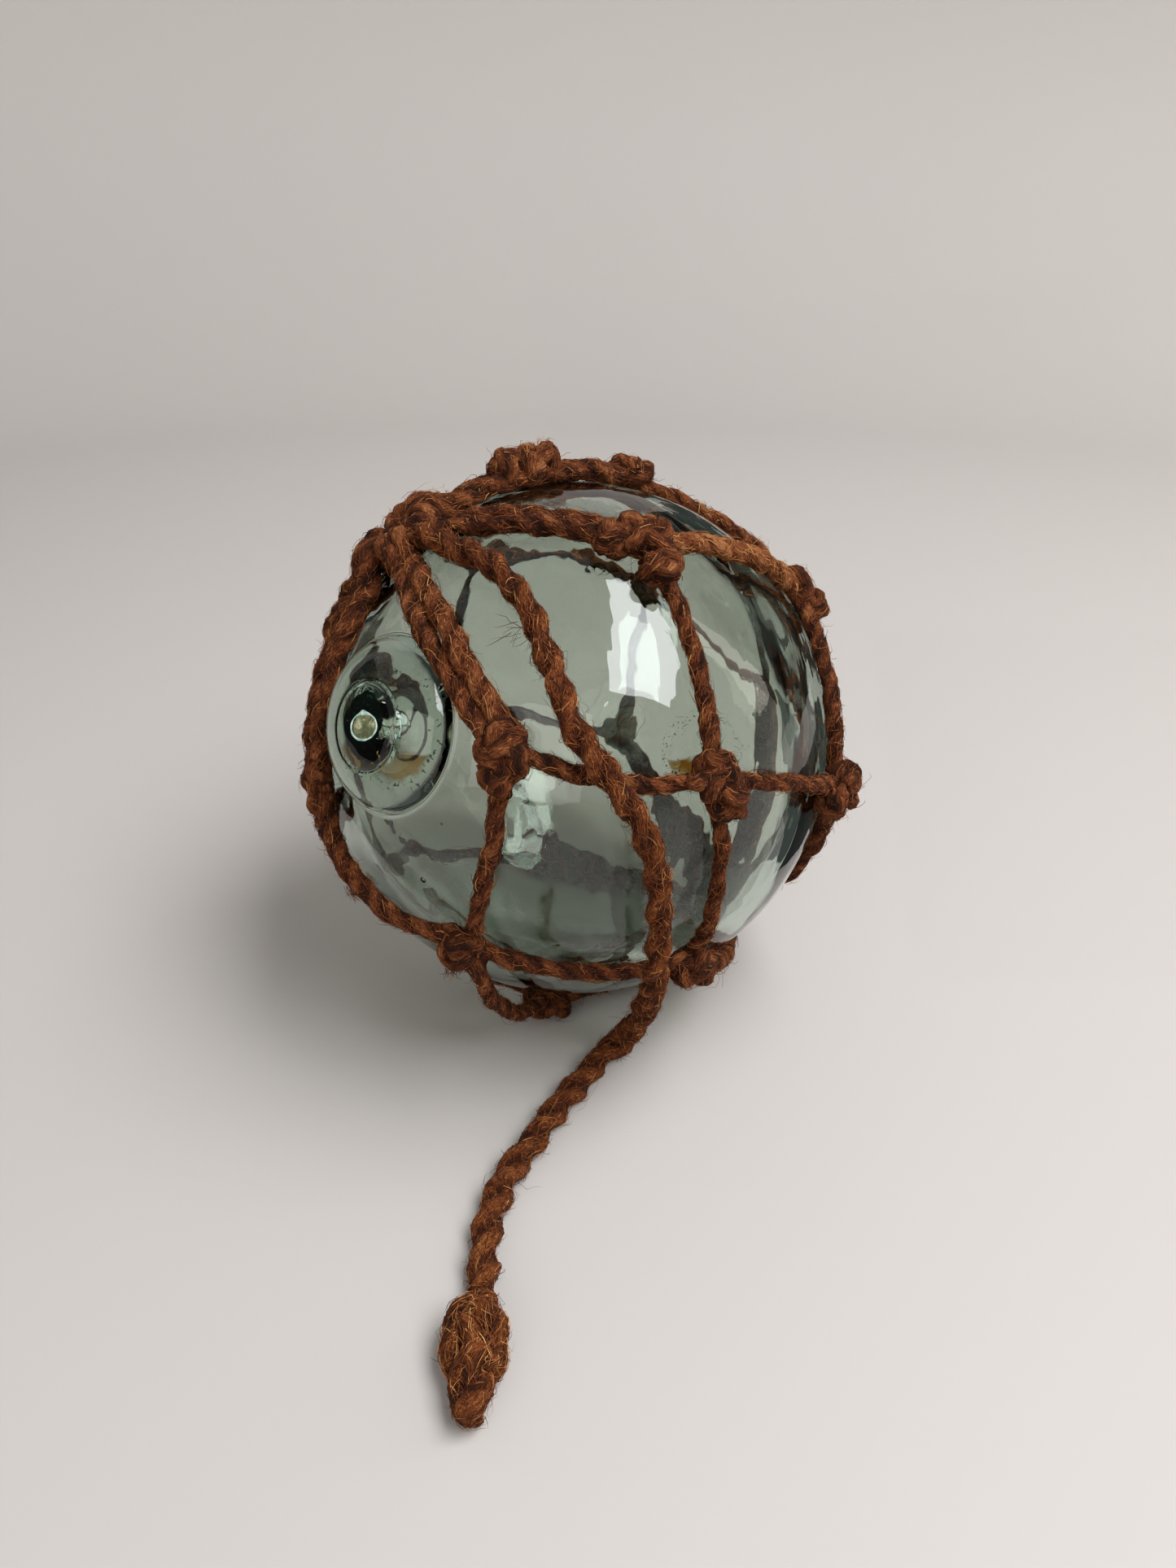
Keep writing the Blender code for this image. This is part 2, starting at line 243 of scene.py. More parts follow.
def skinArrays(skin):
    # A rope's grid, with the mean of its first and last ring as poles
    def withEnds(values, ends):
        flat = values.reshape(-1, *values.shape[2:])
        return flat if skin["closed"] else np.concatenate([flat, ends])

    def endMeans(values):
        return np.concatenate([values[:1].mean(1), values[-1:].mean(1)])

    made = gridMesh(skin["points"], skin["closed"], None if skin["closed"] else endMeans(skin["points"]))
    made["lay"] = withEnds(skin["lay"], endMeans(skin["lay"]))
    made["groove"] = withEnds(skin["groove"], [0.5, 0.5])
    made["tone"] = withEnds(skin["tone"], skin["tone"][[0, -1], [0, -1]])
    return made


def makePiece(name, blocks, material):
    # Joins the blocks' arrays into one mesh at the origin, with its attributes
    starts = np.cumsum([0] + [len(b["co"]) for b in blocks])
    co = np.concatenate([b["co"] for b in blocks])
    quads = np.concatenate([b["quads"] + k for b, k in zip(blocks, starts)])
    tris = np.concatenate([b["tris"] + k for b, k in zip(blocks, starts)])
    mesh = bpy.data.meshes.new(name)
    mesh.vertices.add(len(co))
    mesh.vertices.foreach_set("co", co.astype(np.float32).ravel())
    corners = np.concatenate([quads.ravel(), tris.ravel()]).astype(np.int32)
    mesh.loops.add(len(corners))
    mesh.loops.foreach_set("vertex_index", corners)
    begins = np.concatenate([4 * np.arange(len(quads)), 4 * len(quads) + 3 * np.arange(len(tris))])
    mesh.polygons.add(len(begins))
    mesh.polygons.foreach_set("loop_start", begins.astype(np.int32))
    for key, kind, field in (("lay", "FLOAT_VECTOR", "vector"), ("groove", "FLOAT", "value"), ("tone", "FLOAT", "value")):
        if key in blocks[0]:
            values = np.concatenate([b[key] for b in blocks]).astype(np.float32)
            mesh.attributes.new(key, kind, "POINT").data.foreach_set(field, values.ravel())
    mesh.update(calc_edges=True)
    mesh.validate()
    mesh.shade_smooth()
    mesh.materials.append(material)
    piece = bpy.data.objects.new(name, mesh)
    bpy.context.scene.collection.objects.link(piece)
    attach(piece, "root")
    print(f"{name}: {len(quads) * 2 + len(tris)} triangles")
    return piece


# Loose fibres: thin three-sided hairs

def hairTubes(line, out, width, tone):
    # A three-sided tube along each row of points, as wide as width says there, ending in a point
    amount, knots = line.shape[:2]
    ahead = unit(np.gradient(line, axis=1))
    beside = unit(np.cross(ahead, out))
    above = np.cross(beside, ahead)
    corner = 2 * math.pi * np.arange(3) / 3
    ring = np.cos(corner)[:, None] * beside[:, :, None] + np.sin(corner)[:, None] * above[:, :, None]
    body = (line[:, :, None] + ring * width[..., None, None] / 2)[:, :-1].reshape(amount, -1, 3)
    co = np.concatenate([body, line[:, -1:]], axis=1)
    each = co.shape[1]
    base = (each * np.arange(amount))[:, None, None]
    k = (3 * np.arange(knots - 2))[None, :, None]
    c = np.arange(3)[None, None, :]
    n = (c + 1) % 3
    quads = np.stack([base + k + c, base + k + n, base + k + 3 + n, base + k + 3 + c], axis=-1).reshape(-1, 4)
    last = base[..., 0] + 3 * (knots - 2)
    tips = np.stack([last + c[0], last + n[0], base[..., 0] + each - 1 + 0 * c[0]], axis=-1).reshape(-1, 3)
    caps = np.stack([base[:, 0, 0], base[:, 0, 0] + 2, base[:, 0, 0] + 1], axis=-1)
    co = co.reshape(-1, 3)
    co[:, 2] = np.maximum(co[:, 2], 0.05 * mm)
    return {"co": co, "quads": quads, "tris": np.concatenate([tips, caps]), "tone": np.repeat(tone, each)}


def fibreHairs(skin, density, look, seed):
    # Root at a random place of the skin; point k = skin at (s, angle) + outward * lift(k) + a slow curl
    draw = np.random.default_rng(seed)
    rings, around = skin["points"].shape[:2]
    grid, middle = skin["points"], skin["middle"]
    step = np.linalg.norm(np.diff(middle, axis=0), axis=1).mean()
    girth = np.linalg.norm(grid[:, 0] - grid[:, around // 2], axis=1).mean() / 2
    amount = max(int(density * rings * step / mm * 2 * math.pi * girth / mm), 3)
    t = np.linspace(0, 1, look["points"])[None, :]
    size = look["length"] * draw.uniform(0.45, 1.4, (amount, 1))
    slope = draw.normal(look["lean"], look["spread"], (amount, 1)) + draw.normal(0, 0.6, (amount, 1)) * t
    way = draw.choice([-1.0, 1.0], (amount, 1))
    bend = look["stray"] * draw.uniform(0.0, 1.0, (amount, 1)) ** 1.7
    s = draw.uniform(0, rings - 1, (amount, 1)) + way * np.cos(slope) * size * t / step
    th = draw.uniform(0, around, (amount, 1)) + way * np.sin(slope) * size * t / girth * around / (2 * math.pi)
    s = s if skin["closed"] else np.clip(s, 0, rings - 1.001)
    low = np.floor(s).astype(int)
    share = (s - low)[..., None]
    low, high = low % rings, (low + 1) % rings
    side = np.floor(th).astype(int)
    turn = (th - side)[..., None]
    side, after = side % around, (side + 1) % around
    at = (grid[low, side] * (1 - turn) + grid[low, after] * turn) * (1 - share) + (
        grid[high, side] * (1 - turn) + grid[high, after] * turn) * share
    core = middle[low] * (1 - share) + middle[high] * share
    out = unit(at - core)
    curl = np.cumsum(draw.normal(0, 1, at.shape), axis=1) * look["curl"]
    lift = look["lift"] * draw.uniform(0.2, 1.0, (amount, 1)) * np.sin(math.pi * (0.12 + 0.88 * t))
    lift = lift - look["sink"] * (1 - t) ** 3
    line = at + out * (lift + bend * t**1.5)[..., None] + (curl - curl[:, :1]) * t[..., None]
    width = look["width"] * draw.uniform(0.6, 1.3, (amount, 1)) * (1 - 0.6 * t)
    # Hairs on a cord with a tone are paler too: painted light
    pale = np.clip(draw.beta(1.5, 2.6, amount) + 0.3 * float(skin["tone"].mean()) + look["pale"], 0, 1)
    return hairTubes(line, out, width, pale)


def tuft(root, way, amount, look, seed):
    # Fibres out of one point inside a cone: root + direction * length * t + a growing curl
    draw = np.random.default_rng(seed)
    t = np.linspace(0, 1, 6)[None, :, None]
    aim = unit(np.asarray(way) + draw.normal(0, look["cone"], (amount, 1, 3)))
    size = look["length"] * draw.uniform(0.4, 1.2, (amount, 1, 1))
    begin = np.asarray(root) + draw.normal(0, look["bundle"], (amount, 1, 3))
    curl = np.cumsum(draw.normal(0, 1, (amount, 6, 3)), axis=1) * look["curl"]
    line = begin + aim * size * t + (curl - curl[:, :1]) * t
    out = unit(np.cross(aim, draw.normal(0, 1, (amount, 1, 3)))) + 0 * line
    width = look["width"] * draw.uniform(0.6, 1.3, (amount, 1)) * (1 - 0.6 * t[..., 0])
    return hairTubes(line, out, width, np.clip(look["pale"] + draw.normal(0, 0.22, amount), 0, 1))


# Camera at the photo's angle, worked out from the ball's outline and the surface
camera = {"lens": 27.05, "place": (0.004, -0.3117, 0.2541), "tilt": 58.24}
eye = bpy.data.objects.new("camera", bpy.data.cameras.new("camera"))
eye.data.lens = camera["lens"]
eye.data.clip_start = 0.01
eye.location = camera["place"]
eye.rotation_euler = (math.radians(camera["tilt"]), 0, 0)
bpy.context.scene.collection.objects.link(eye)
bpy.context.scene.camera = eye
bpy.context.view_layer.update()
print("camera set")


# Materials

def fibreMaterial(name, stops):
    # Twisted palm fibre: stiff dark hairs laid side by side, so the eye sees fine streaks along the lay
    made, tree = newMaterial(name)
    lay, groove, tone = (addNode(tree, "Attribute", {"attribute_name": key}) for key in ("lay", "groove", "tone"))
    # Real fibres are 0.2 mm wide or finer: drawn at 0.3 mm, and 1.5 mm along the lay, so that they show
    along = addNode(tree, "Mapping", Vector=lay.outputs["Vector"], Scale=(1.0, 1.0, 0.2))
    strands = addNode(tree, "TexNoise", Vector=along, Scale=3.4, Detail=4.0, Roughness=0.72, Distortion=0.6)
    # Blotches 5 mm across, painted shade in the grooves, and painted light that makes the lit cords paler
    blotch = addNode(tree, "TexNoise", Vector=lay.outputs["Vector"], Scale=0.2, Detail=3.0, Roughness=0.6)
    patch = addNode(tree, "Math", {"operation": "MULTIPLY_ADD"}, i0=blotch, i1=0.5, i2=-0.25)
    mixed = addNode(tree, "Math", {"operation": "ADD"}, i0=strands, i1=patch)
    # Painted shade: darker down in the grooves between the plies
    paintedGrooveShade = addNode(tree, "Math", {"operation": "MULTIPLY_ADD"}, i0=groove.outputs["Fac"], i1=-0.2, i2=mixed)
    # Painted light: a cord's tone makes it paler where it is lit
    paintedLitCords = addNode(tree, "Math", {"operation": "MULTIPLY_ADD"}, i0=tone.outputs["Fac"], i1=0.12, i2=paintedGrooveShade)
    ramp = addNode(tree, "ValToRGB", {"stops": stops}, Fac=paintedLitCords)
    bump = addNode(tree, "Bump", Strength=1.0, Distance=0.9 * mm, Height=strands)
    shader = addNode(
        tree, "BsdfPrincipled", Base_Color=ramp, Roughness=0.9, Normal=bump, Sheen_Weight=0.08,
        Sheen_Roughness=0.5, Sheen_Tint=toLinear("#b5703f"), Specular_IOR_Level=0.15,
    )
    addNode(tree, "OutputMaterial", Surface=shader)
    return made


def hairMaterial(name, stops):
    # Single loose palm fibres: some dark, most red-brown, a few bleached to straw
    made, tree = newMaterial(name)
    tone = addNode(tree, "Attribute", {"attribute_name": "tone"})
    ramp = addNode(tree, "ValToRGB", {"stops": stops}, Fac=tone.outputs["Fac"])
    shader = addNode(tree, "BsdfPrincipled", Base_Color=ramp, Roughness=0.75, Specular_IOR_Level=0.2)
    addNode(tree, "OutputMaterial", Surface=shader)
    return made


netFibre = fibreMaterial(
    "twisted palm fibre", ((0.32, "#1a0a04"), (0.45, "#51260f"), (0.58, "#8c4e2a"), (0.78, "#c0905f")),
)
leadFibre = fibreMaterial(
    "laid palm fibre rope", ((0.32, "#1d0b03"), (0.45, "#57290d"), (0.58, "#8f4f26"), (0.78, "#c08e54")),
)
looseFibre = hairMaterial(
    "loose palm fibre", ((0.0, "#1f0b04"), (0.3, "#552711"), (0.62, "#945428"), (1.0, "#d69c5c")),
)


# Net cords

# A ply's radius and how far its middle stands off the rope's, the length of one turn, and how rough it is
cordLook = {
    "pitch": 15 * mm, "offset": 0.42 * mm, "ply": 1.85 * mm, "round": 20, "rough": 0.07, "spacing": 0.6 * mm,
    "yarn": 0.13 * mm, "uneven": 0.06, "wander": 0.35 * mm,
}
pairLook = dict(cordLook, offset=0.5 * mm, ply=2.2 * mm, pitch=17 * mm, gap=2.35 * mm, start=1.6)


def onBall(ways, height):
    # Points over the ball along the unit vectors, at a height above the glass, clear of the seal
    axis = sealTurn[:, 2]
    along = ways @ axis
    across = np.sqrt(np.maximum(0, 1 - along**2))
    wide, high = ball["sealRadius"] + net["cordRadius"], ball["sealDome"] + height
    a = (across / wide) ** 2 + (along / high) ** 2
    b = along * sealLevel / high**2
    c = (sealLevel / high) ** 2 - 1
    inside = b**2 - a * c
    over = np.where((along > 0) & (inside > 0), (b + np.sqrt(np.maximum(inside, 0))) / a, 0)
    return ways * np.maximum(ball["radius"] + height, over)[..., None]


def arc(a, b, count):
    # Great circle from a to b
    angle = math.acos(float(np.clip(a @ b, -1, 1)))
    t = np.linspace(0, 1, count)[:, None]
    return (np.sin((1 - t) * angle) * a + np.sin(t * angle) * b) / math.sin(angle)


def wander(path, size, seed):
    # Sideways drift of a hand-laid cord: three slow cosines in each direction, none at the ends
    draw = np.random.default_rng(seed)
    t = np.linspace(0, 1, len(path))[:, None]
    drift = sum(np.cos(2 * math.pi * draw.uniform(1.0, 5.0, 3) * t + draw.uniform(0, 6.28, 3)) for _ in range(3))
    return path + drift * size / 2 * np.sin(math.pi * t) ** 0.5


def meshCord(ring, k, side, seed):
    # One cord from knot to knot: a great circle with a sideways bow and a stand-off halfway
    a, b = netDirection(*net[ring][k]), netDirection(*net["middle"][(k + side) % 6])
    bow = math.tan(math.radians(net[ring + "Bows"][k][side]))
    lift = net["slack"].get((ring, k, side), 0)
    ways = arc(a, b, 15)
    swell = np.sin(math.pi * np.linspace(0, 1, 15))
    ways = unit(ways + unit(np.cross(a, b)) * bow * swell[:, None])
    path = onBall(ways, net["cordRadius"] * 0.96)
    path = path + ways * (lift * swell)[:, None] + ball["centre"]
    path = wander(smoothPath(path, cordLook["spacing"]), cordLook["wander"], seed)
    tone, heavy = net["tones"].get((ring, k, side), 0.0), net["heavy"].get((ring, k, side), 1.0)
    look = dict(cordLook, tone=tone, ply=cordLook["ply"] * heavy)
    return twistedRope(path, path - ball["centre"], look, seed)


def pairCord(pole, ring, k, strand, seed):
    # One of two cords side by side from a gather to a knot: over the gather's ring, then apart on the way
    polar, azimuth = net[ring][k]
    start = abs(pole - pairLook["start"])
    t = np.linspace(0, 1, 22)
    share = t**1.35
    ways = netDirection(start + (polar - start) * share, np.full(22, float(azimuth)))
    across = np.cross(netDirection(polar, azimuth), netDirection(0, 0))
    across = -unit(across) if pole == 0 else unit(across)
    gap, thick = net["gaps"].get((ring, k), 0.0), net["thick"].get((ring, k), 1.0)
    # Half the way between them: close at the gather, uneven, widest past halfway and drawn in at the knot
    off = thick * pairLook["gap"] * (0.82 + 0.18 * np.cos(5 * t + seed)) * np.clip(0.55 + 3 * t, 0, 1)
    off = (off + gap * np.exp(-(((t - 0.6) / 0.2) ** 2))) * np.where(t > 0.85, 1 - 2.0 * (t - 0.85), 1)
    away = np.degrees(np.arccos(np.clip(ways @ netDirection(pole, 0), -1, 1)))
    climb = net["humps"][pole] * np.exp(-(((away - 6.8) / 3.6) ** 2))
    path = onBall(ways, (pairLook["offset"] + pairLook["ply"]) * 0.9 * thick)
    path = path + ways * climb[:, None] + across * (strand * off)[:, None] + ball["centre"]
    path = wander(smoothPath(path, pairLook["spacing"]), pairLook["wander"], seed)
    look = dict(pairLook, tone=net["pairTones"].get((ring, k, strand), 0.0), ply=pairLook["ply"] * thick)
    return twistedRope(path, path - ball["centre"], look, seed)


upperSkins, lowerSkins, knotSkins = [], [], []
seed = 1
for ring, pole, skins in (("upper", 0, upperSkins), ("lower", 180, lowerSkins)):
    for k in range(6):
        for side in (0, 1):
            skins.append(meshCord(ring, k, side, seed))
            seed += 1
        for strand in (-1, 1):
            skins.append(pairCord(pole, ring, k, strand, seed))
            seed += 1
print("net cords laid:", len(upperSkins) + len(lowerSkins))


# Knots: an overhand knot's three lobes drawn tight over a filled middle, with the cord's turn around them

knotLook = dict(cordLook, pitch=26 * mm, offset=0.5 * mm, ply=2.05 * mm, yarn=0.14 * mm, uneven=0.07)


def lump(axes, middle, half, seed):
    # Ellipsoid grid: half sizes times (sin u, cos u cos v, cos u sin v), roughened
    u = np.linspace(-math.pi / 2 + 0.02, math.pi / 2 - 0.02, 18)[:, None]
    v = 2 * math.pi * np.arange(24)[None, :] / 24
    shape = np.stack([np.sin(u) + 0 * v, np.cos(u) * np.cos(v), np.cos(u) * np.sin(v)], axis=-1)
    rough = 1 + 0.07 * waves(seed, u * 9 * mm, v, 8, 6 * mm)
    local = shape * half * rough[..., None]
    points = local @ axes.T + middle
    lay = np.stack([local[..., 1] / mm, local[..., 2] / mm, local[..., 0] / mm + 11.0 * seed], axis=-1)
    core = np.repeat(middle[None], 18, axis=0) + (np.sin(u) * half[0] * 0.6) * axes[:, 0]
    # Lumps take a groove of 0.8, so the rope material paints them darker: painted shade
    groove, tone = np.full(rough.shape, 0.8), np.zeros(rough.shape)
    return {"points": points, "lay": lay, "groove": groove, "tone": tone, "middle": core, "closed": False}


def wrap(axes, middle, half, shift, tilt, look, seed):
    # A turn of cord around the run: an ellipse across it, leaning by tilt, moved along by shift
    t = 2 * math.pi * np.arange(20) / 20
    draw = np.random.default_rng(seed)
    thick = look["offset"] + look["ply"]
    y, z = np.cos(t) * (half[1] - thick * 0.9), np.sin(t) * (half[2] - thick * 0.9)
    local = np.stack([shift + y * math.tan(math.radians(tilt)) + 0 * t, y, z], axis=1)
    local += draw.normal(0, 0.2 * mm, local.shape)
    path = smoothPath(local @ axes.T + middle, look["spacing"], closed=True)
    return twistedRope(path, path - middle, dict(look, pitch=15 * mm), seed, closed=True)


def knot(place, half, seed, turn, hand, tone=0.0, turnsAround=1):
    # Trefoil (sin t + 2 sin 2t, cos t - 2 cos 2t, -sin 3t), scaled so that its cord fills the half sizes
    draw = np.random.default_rng(seed)
    t = 2 * math.pi * np.arange(36) / 36
    x, y, z = np.sin(t) + 2 * np.sin(2 * t), np.cos(t) - 2 * np.cos(2 * t), -np.sin(3 * t) * hand
    c, s = math.cos(math.radians(turn)), math.sin(math.radians(turn))
    x, y = c * x - s * y, s * x + c * y
    look = dict(knotLook, tone=tone)
    thick = look["offset"] + look["ply"]
    x, y = x / np.abs(x).max() * (half[0] - thick * 0.9), y / np.abs(y).max() * (half[1] - thick * 0.9)
    local = np.stack([x, y, z * (half[2] - thick * 0.95)], axis=1)
    local += draw.normal(0, 0.3 * mm, local.shape)
    axes = netFrame(*place)
    middle = ball["centre"] + axes[:, 2] * (ball["radius"] + half[2] + 0.2 * mm)
    path = smoothPath(local @ axes.T + middle, look["spacing"], closed=True)
    made = [twistedRope(path, axes[:, 2], look, seed, closed=True)]
    made.append(lump(axes, middle, np.array(half) * np.array([0.78, 0.72, 0.72]), seed + 500))
    for n in range(turnsAround):
        # One turn lies anywhere near the middle, and more are spread along the knot
        share = draw.uniform(-0.35, 0.35) if turnsAround == 1 else (n / (turnsAround - 1) - 0.5) * 1.25
        made.append(wrap(axes, middle, half, share * half[0], draw.uniform(-22, 22), look, seed + 900 + n))
    return made


# Half sizes in mm, of most knots and of some, and how far each knot is turned on the ball
meshKnots = {
    "half": (8.4, 6.6, 4.9),
    ("upper", 0): (8.6, 5.2, 3.8), ("middle", 3): (8.6, 5.6, 4.0),
    ("upper", 3): (8.0, 6.4, 4.6), ("upper", 5): (8.6, 6.6, 5.4),
    "upper": (10, 95, 60, 130, 20, 75), "middle": (15, 80, 120, 40, 100, 170), "lower": (30, 60, 110, 20, 140, 80),
}
for ring in ("upper", "middle", "lower"):
    for k, place in enumerate(net[ring]):
        half = np.array(meshKnots.get((ring, k), meshKnots["half"])) * mm
        knotSkins += knot(place, half, 100 + seed, meshKnots[ring][k], 1 if k % 2 else -1)
        seed += 1

# The two gathers: a ring of cord that every pair turns over, and a stopper in its middle
for pole in (0, 180):
    axes = netFrame(pole, 0)
    t = 2 * math.pi * np.arange(20) / 20
    local = np.stack([8.2 * mm * np.cos(t), 8.2 * mm * np.sin(t), 2.4 * mm + 0.4 * mm * np.sin(2 * t)], axis=1)
    path = smoothPath(local @ axes.T + axes[:, 2] * ball["radius"] + ball["centre"], 0.6 * mm, closed=True)
    knotSkins.append(twistedRope(path, axes[:, 2], dict(knotLook, pitch=16 * mm), seed, closed=True))
    top = ball["centre"] + axes[:, 2] * (ball["radius"] + 4.6 * mm)
    knotSkins.append(lump(axes, top, np.array([6.0, 6.0, 4.2]) * mm, seed + 3))
    seed += 1

# Joins where two of the pairs are tied on, and the lumps beside some knots:
# place, half sizes in mm, turns around, tone (painted light)
extraLumps = (
    ((30.5, 208), (11.5, 6.8, 5.4), 3, 0.4),
    ((35.0, 330), (9.5, 5.6, 3.4), 1, 0.0),
    ((46.6, 149), (5.6, 5.4, 4.4), 1, 0.0),
    ((56.6, 146), (5.6, 4.6, 4.6), 1, 0.0),
    ((61.6, 90), (5.2, 4.8, 4.4), 1, 0.0),
    ((92.0, 118.5), (5.4, 4.8, 4.2), 1, 0.0),
    ((96.0, 181), (5.2, 4.8, 4.2), 1, 0.0),
    ((119.4, 143.2), (5.8, 4.8, 4.2), 1, 0.0),
)
for n, (place, half, around, tone) in enumerate(extraLumps):
    knotSkins += knot(place, np.array(half) * mm, 300 + n, 15 + 40 * n, 1, tone, around)
print("knots tied:", len(knotSkins))


def aboveSurface(skin):
    # The float rests on its net: nothing reaches below the surface
    skin["points"][..., 2] = np.maximum(skin["points"][..., 2], 0.15 * mm)
    return skin


for skin in upperSkins + lowerSkins + knotSkins:
    aboveSurface(skin)
netNodes = [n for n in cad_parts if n.startswith("net_")]
for name, group, part in (("upper", upperSkins, "net_upper_"), ("lower", lowerSkins, "net_lower_")):
    cords = makePiece(f"net_{name}_cords_twisted", [skinArrays(s) for s in group], netFibre)
    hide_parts(*[n for n in netNodes if n.startswith(part) and "_cord_" in n])
knots = makePiece("net_knots_tied", [skinArrays(s) for s in knotSkins], netFibre)
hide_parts(*[n for n in netNodes if "_knot_" in n or "_gather" in n])


# Lead rope, on the same route as its solid

lead = {
    "diameter": 7.2 * mm,
    "route": (
        (-0.0412, -0.0134, 0.1471), (-0.0345, -0.0212, 0.1480), (-0.0268, -0.0300, 0.1482),
        (-0.0195, -0.0368, 0.1474), (-0.0110, -0.0475, 0.1416), (-0.0050, -0.0592, 0.1318),
        (0.0005, -0.0695, 0.1205), (0.0048, -0.0750, 0.1160), (0.0098, -0.0795, 0.1105),
        (0.0160, -0.0818, 0.1010), (0.0202, -0.0825, 0.0885), (0.0215, -0.0832, 0.0740),
        (0.0212, -0.0826, 0.0580), (0.0208, -0.0752, 0.0420), (0.0200, -0.0645, 0.0275),
        (0.0180, -0.0570, 0.0150), (0.0135, -0.0555, 0.0060), (0.0080, -0.0590, 0.0038),
        (0.0037, -0.0670, 0.0038), (-0.0030, -0.0765, 0.0038), (-0.0110, -0.0915, 0.0038),
        (-0.0180, -0.1050, 0.0038), (-0.0212, -0.1210, 0.0038), (-0.0212, -0.1376, 0.0038),
    ),
    "look": {
        "pitch": 20.5 * mm, "offset": 1.35 * mm, "ply": 2.35 * mm, "round": 32, "rough": 0.06,
        "yarn": 0.16 * mm, "uneven": 0.03, "phase": 0.6,
    },
}
leadPath = smoothPath(lead["route"], 0.5 * mm)
onTop = np.clip((leadPath[:, 2] - 0.01) / 0.03, 0, 1)[:, None]
leadHint = unit(leadPath - ball["centre"]) * onTop + np.array([0.35, 0, 1.0]) * (1 - onTop)
leadSkin = aboveSurface(twistedRope(leadPath, leadHint, lead["look"], 7, swell=1.04 - 0.13 * onTop[:, 0]))
leadRope = makePiece("lead_rope_laid", [skinArrays(leadSkin)], leadFibre)
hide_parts("lead_rope")

# End knot: two turns of the rope drawn tight over a lump, and a short rounded tail
endKnotShape = {
    # In mm
    "turn": (
        (-21.2, -135.5, 3.9), (-20.7, -141.5, 5.2), (-18.9, -146.2, 8.2), (-17.2, -150.6, 7.2),
        (-17.7, -155.6, 4.6), (-21.4, -158.0, 4.4), (-25.1, -155.4, 4.9), (-26.2, -150.8, 6.8),
        (-25.1, -146.6, 8.3), (-21.9, -145.0, 8.0), (-18.2, -146.4, 5.4),
    ),
    "cross": (
        (-25.6, -147.4, 5.0), (-24.2, -149.6, 8.4), (-21.8, -152.0, 9.6), (-19.7, -155.0, 8.0), (-19.1, -158.0, 5.0),
    ),
    "tail": (
        (-21.6, -153.5, 6.6), (-21.6, -158.0, 6.0), (-21.7, -162.5, 5.4), (-21.7, -166.6, 5.0), (-21.6, -169.6, 4.6),
    ),
    "lump": ((-21.5, -151.2, 5.2), (7.4, 6.2, 4.4)),
}
endSkins = []
for name, look in (
    ("turn", dict(lead["look"], offset=1.1 * mm, ply=2.5 * mm, pitch=19 * mm)),
    ("cross", dict(lead["look"], offset=0.9 * mm, ply=2.5 * mm, pitch=22 * mm)),
    ("tail", dict(lead["look"], offset=1.9 * mm, ply=3.4 * mm, pitch=24 * mm, phase=1.1)),
):
    path = smoothPath(np.array(endKnotShape[name]) * mm, 0.5 * mm)
    t = np.linspace(0, 1, len(path))
    # Round ends: the square root of the way left; the tail narrows at its far end only
    left = np.clip(np.minimum(t, 1 - t) * 9, 0.05, 1)
    if name == "tail":
        left = np.clip(1 - ((t - 0.7) / 0.3).clip(0, 1) ** 2.4, 0.02, 1)
    endSkins.append(twistedRope(path, np.array([0.1, 0.05, 1.0]), look, 9 + len(endSkins), swell=np.sqrt(left)))
endSkins.append(lump(np.eye(3)[:, [1, 0, 2]], *(np.array(endKnotShape["lump"]) * mm), 77))
endSkins = [aboveSurface(s) for s in endSkins]
endKnot = makePiece("lead_rope_stopper_knot", [skinArrays(s) for s in endSkins], leadFibre)
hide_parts("lead_rope_end_knot")

# Loose fibres: matted ones lie close along the lay, frizzy ones stand off it, and a few stray far
matted = {
    "points": 4, "length": 5.5 * mm, "width": 0.25 * mm, "lean": 0.25, "spread": 0.42, "stray": 0.35 * mm,
    "curl": 0.16 * mm, "lift": 0.35 * mm, "sink": 0.25 * mm, "pale": 0,
}
frizz = dict(
    matted, points=5, length=4.0 * mm, width=0.18 * mm, spread=0.9, stray=1.9 * mm,
    curl=0.30 * mm, lift=0.6 * mm, sink=0.3 * mm,
)
strays = dict(frizz, points=7, length=9 * mm, width=0.15 * mm, spread=0.6, stray=4.5 * mm, curl=0.8 * mm, lift=0.8 * mm)
# Bleached curls lie over the top of the end knot
curls = dict(matted, length=7 * mm, width=0.22 * mm, spread=0.7, curl=0.3 * mm, lift=0.7 * mm, pale=0.3)


def fibresOver(name, skins, amounts, seed, more=()):
    # Each skin's hairs of the three kinds, by their amounts to the square mm
    blocks = [
        fibreHairs(skin, amounts[n], look, seed + 10 * i + n)
        for i, skin in enumerate(skins) for n, look in enumerate((matted, frizz, strays))
    ]
    return makePiece(name, blocks + list(more), looseFibre)


leadHairs = fibresOver(
    "lead_rope_fibres", [leadSkin] + endSkins, (0.7, 0.22, 0.008), 20000,
    (fibreHairs(endSkins[0], 0.5, curls, 20901), fibreHairs(endSkins[1], 0.4, curls, 20902)),
)
for n, group in enumerate((upperSkins[:12], upperSkins[12:], lowerSkins[:12], lowerSkins[12:])):
    fibresOver(f"net_cord_fibres_{n + 1}", group, (0.42, 0.17, 0.006), 30000 + 1000 * n)
half = len(knotSkins) // 2
for n, group in enumerate((knotSkins[:half], knotSkins[half:])):
    fibresOver(f"net_knot_fibres_{n + 1}", group, (0.3, 0.12, 0.004), 40000 + 1000 * n)


def overBall(polar, azimuth, height):
    return ball["centre"] + netDirection(polar, float(azimuth)) * (ball["radius"] + height)


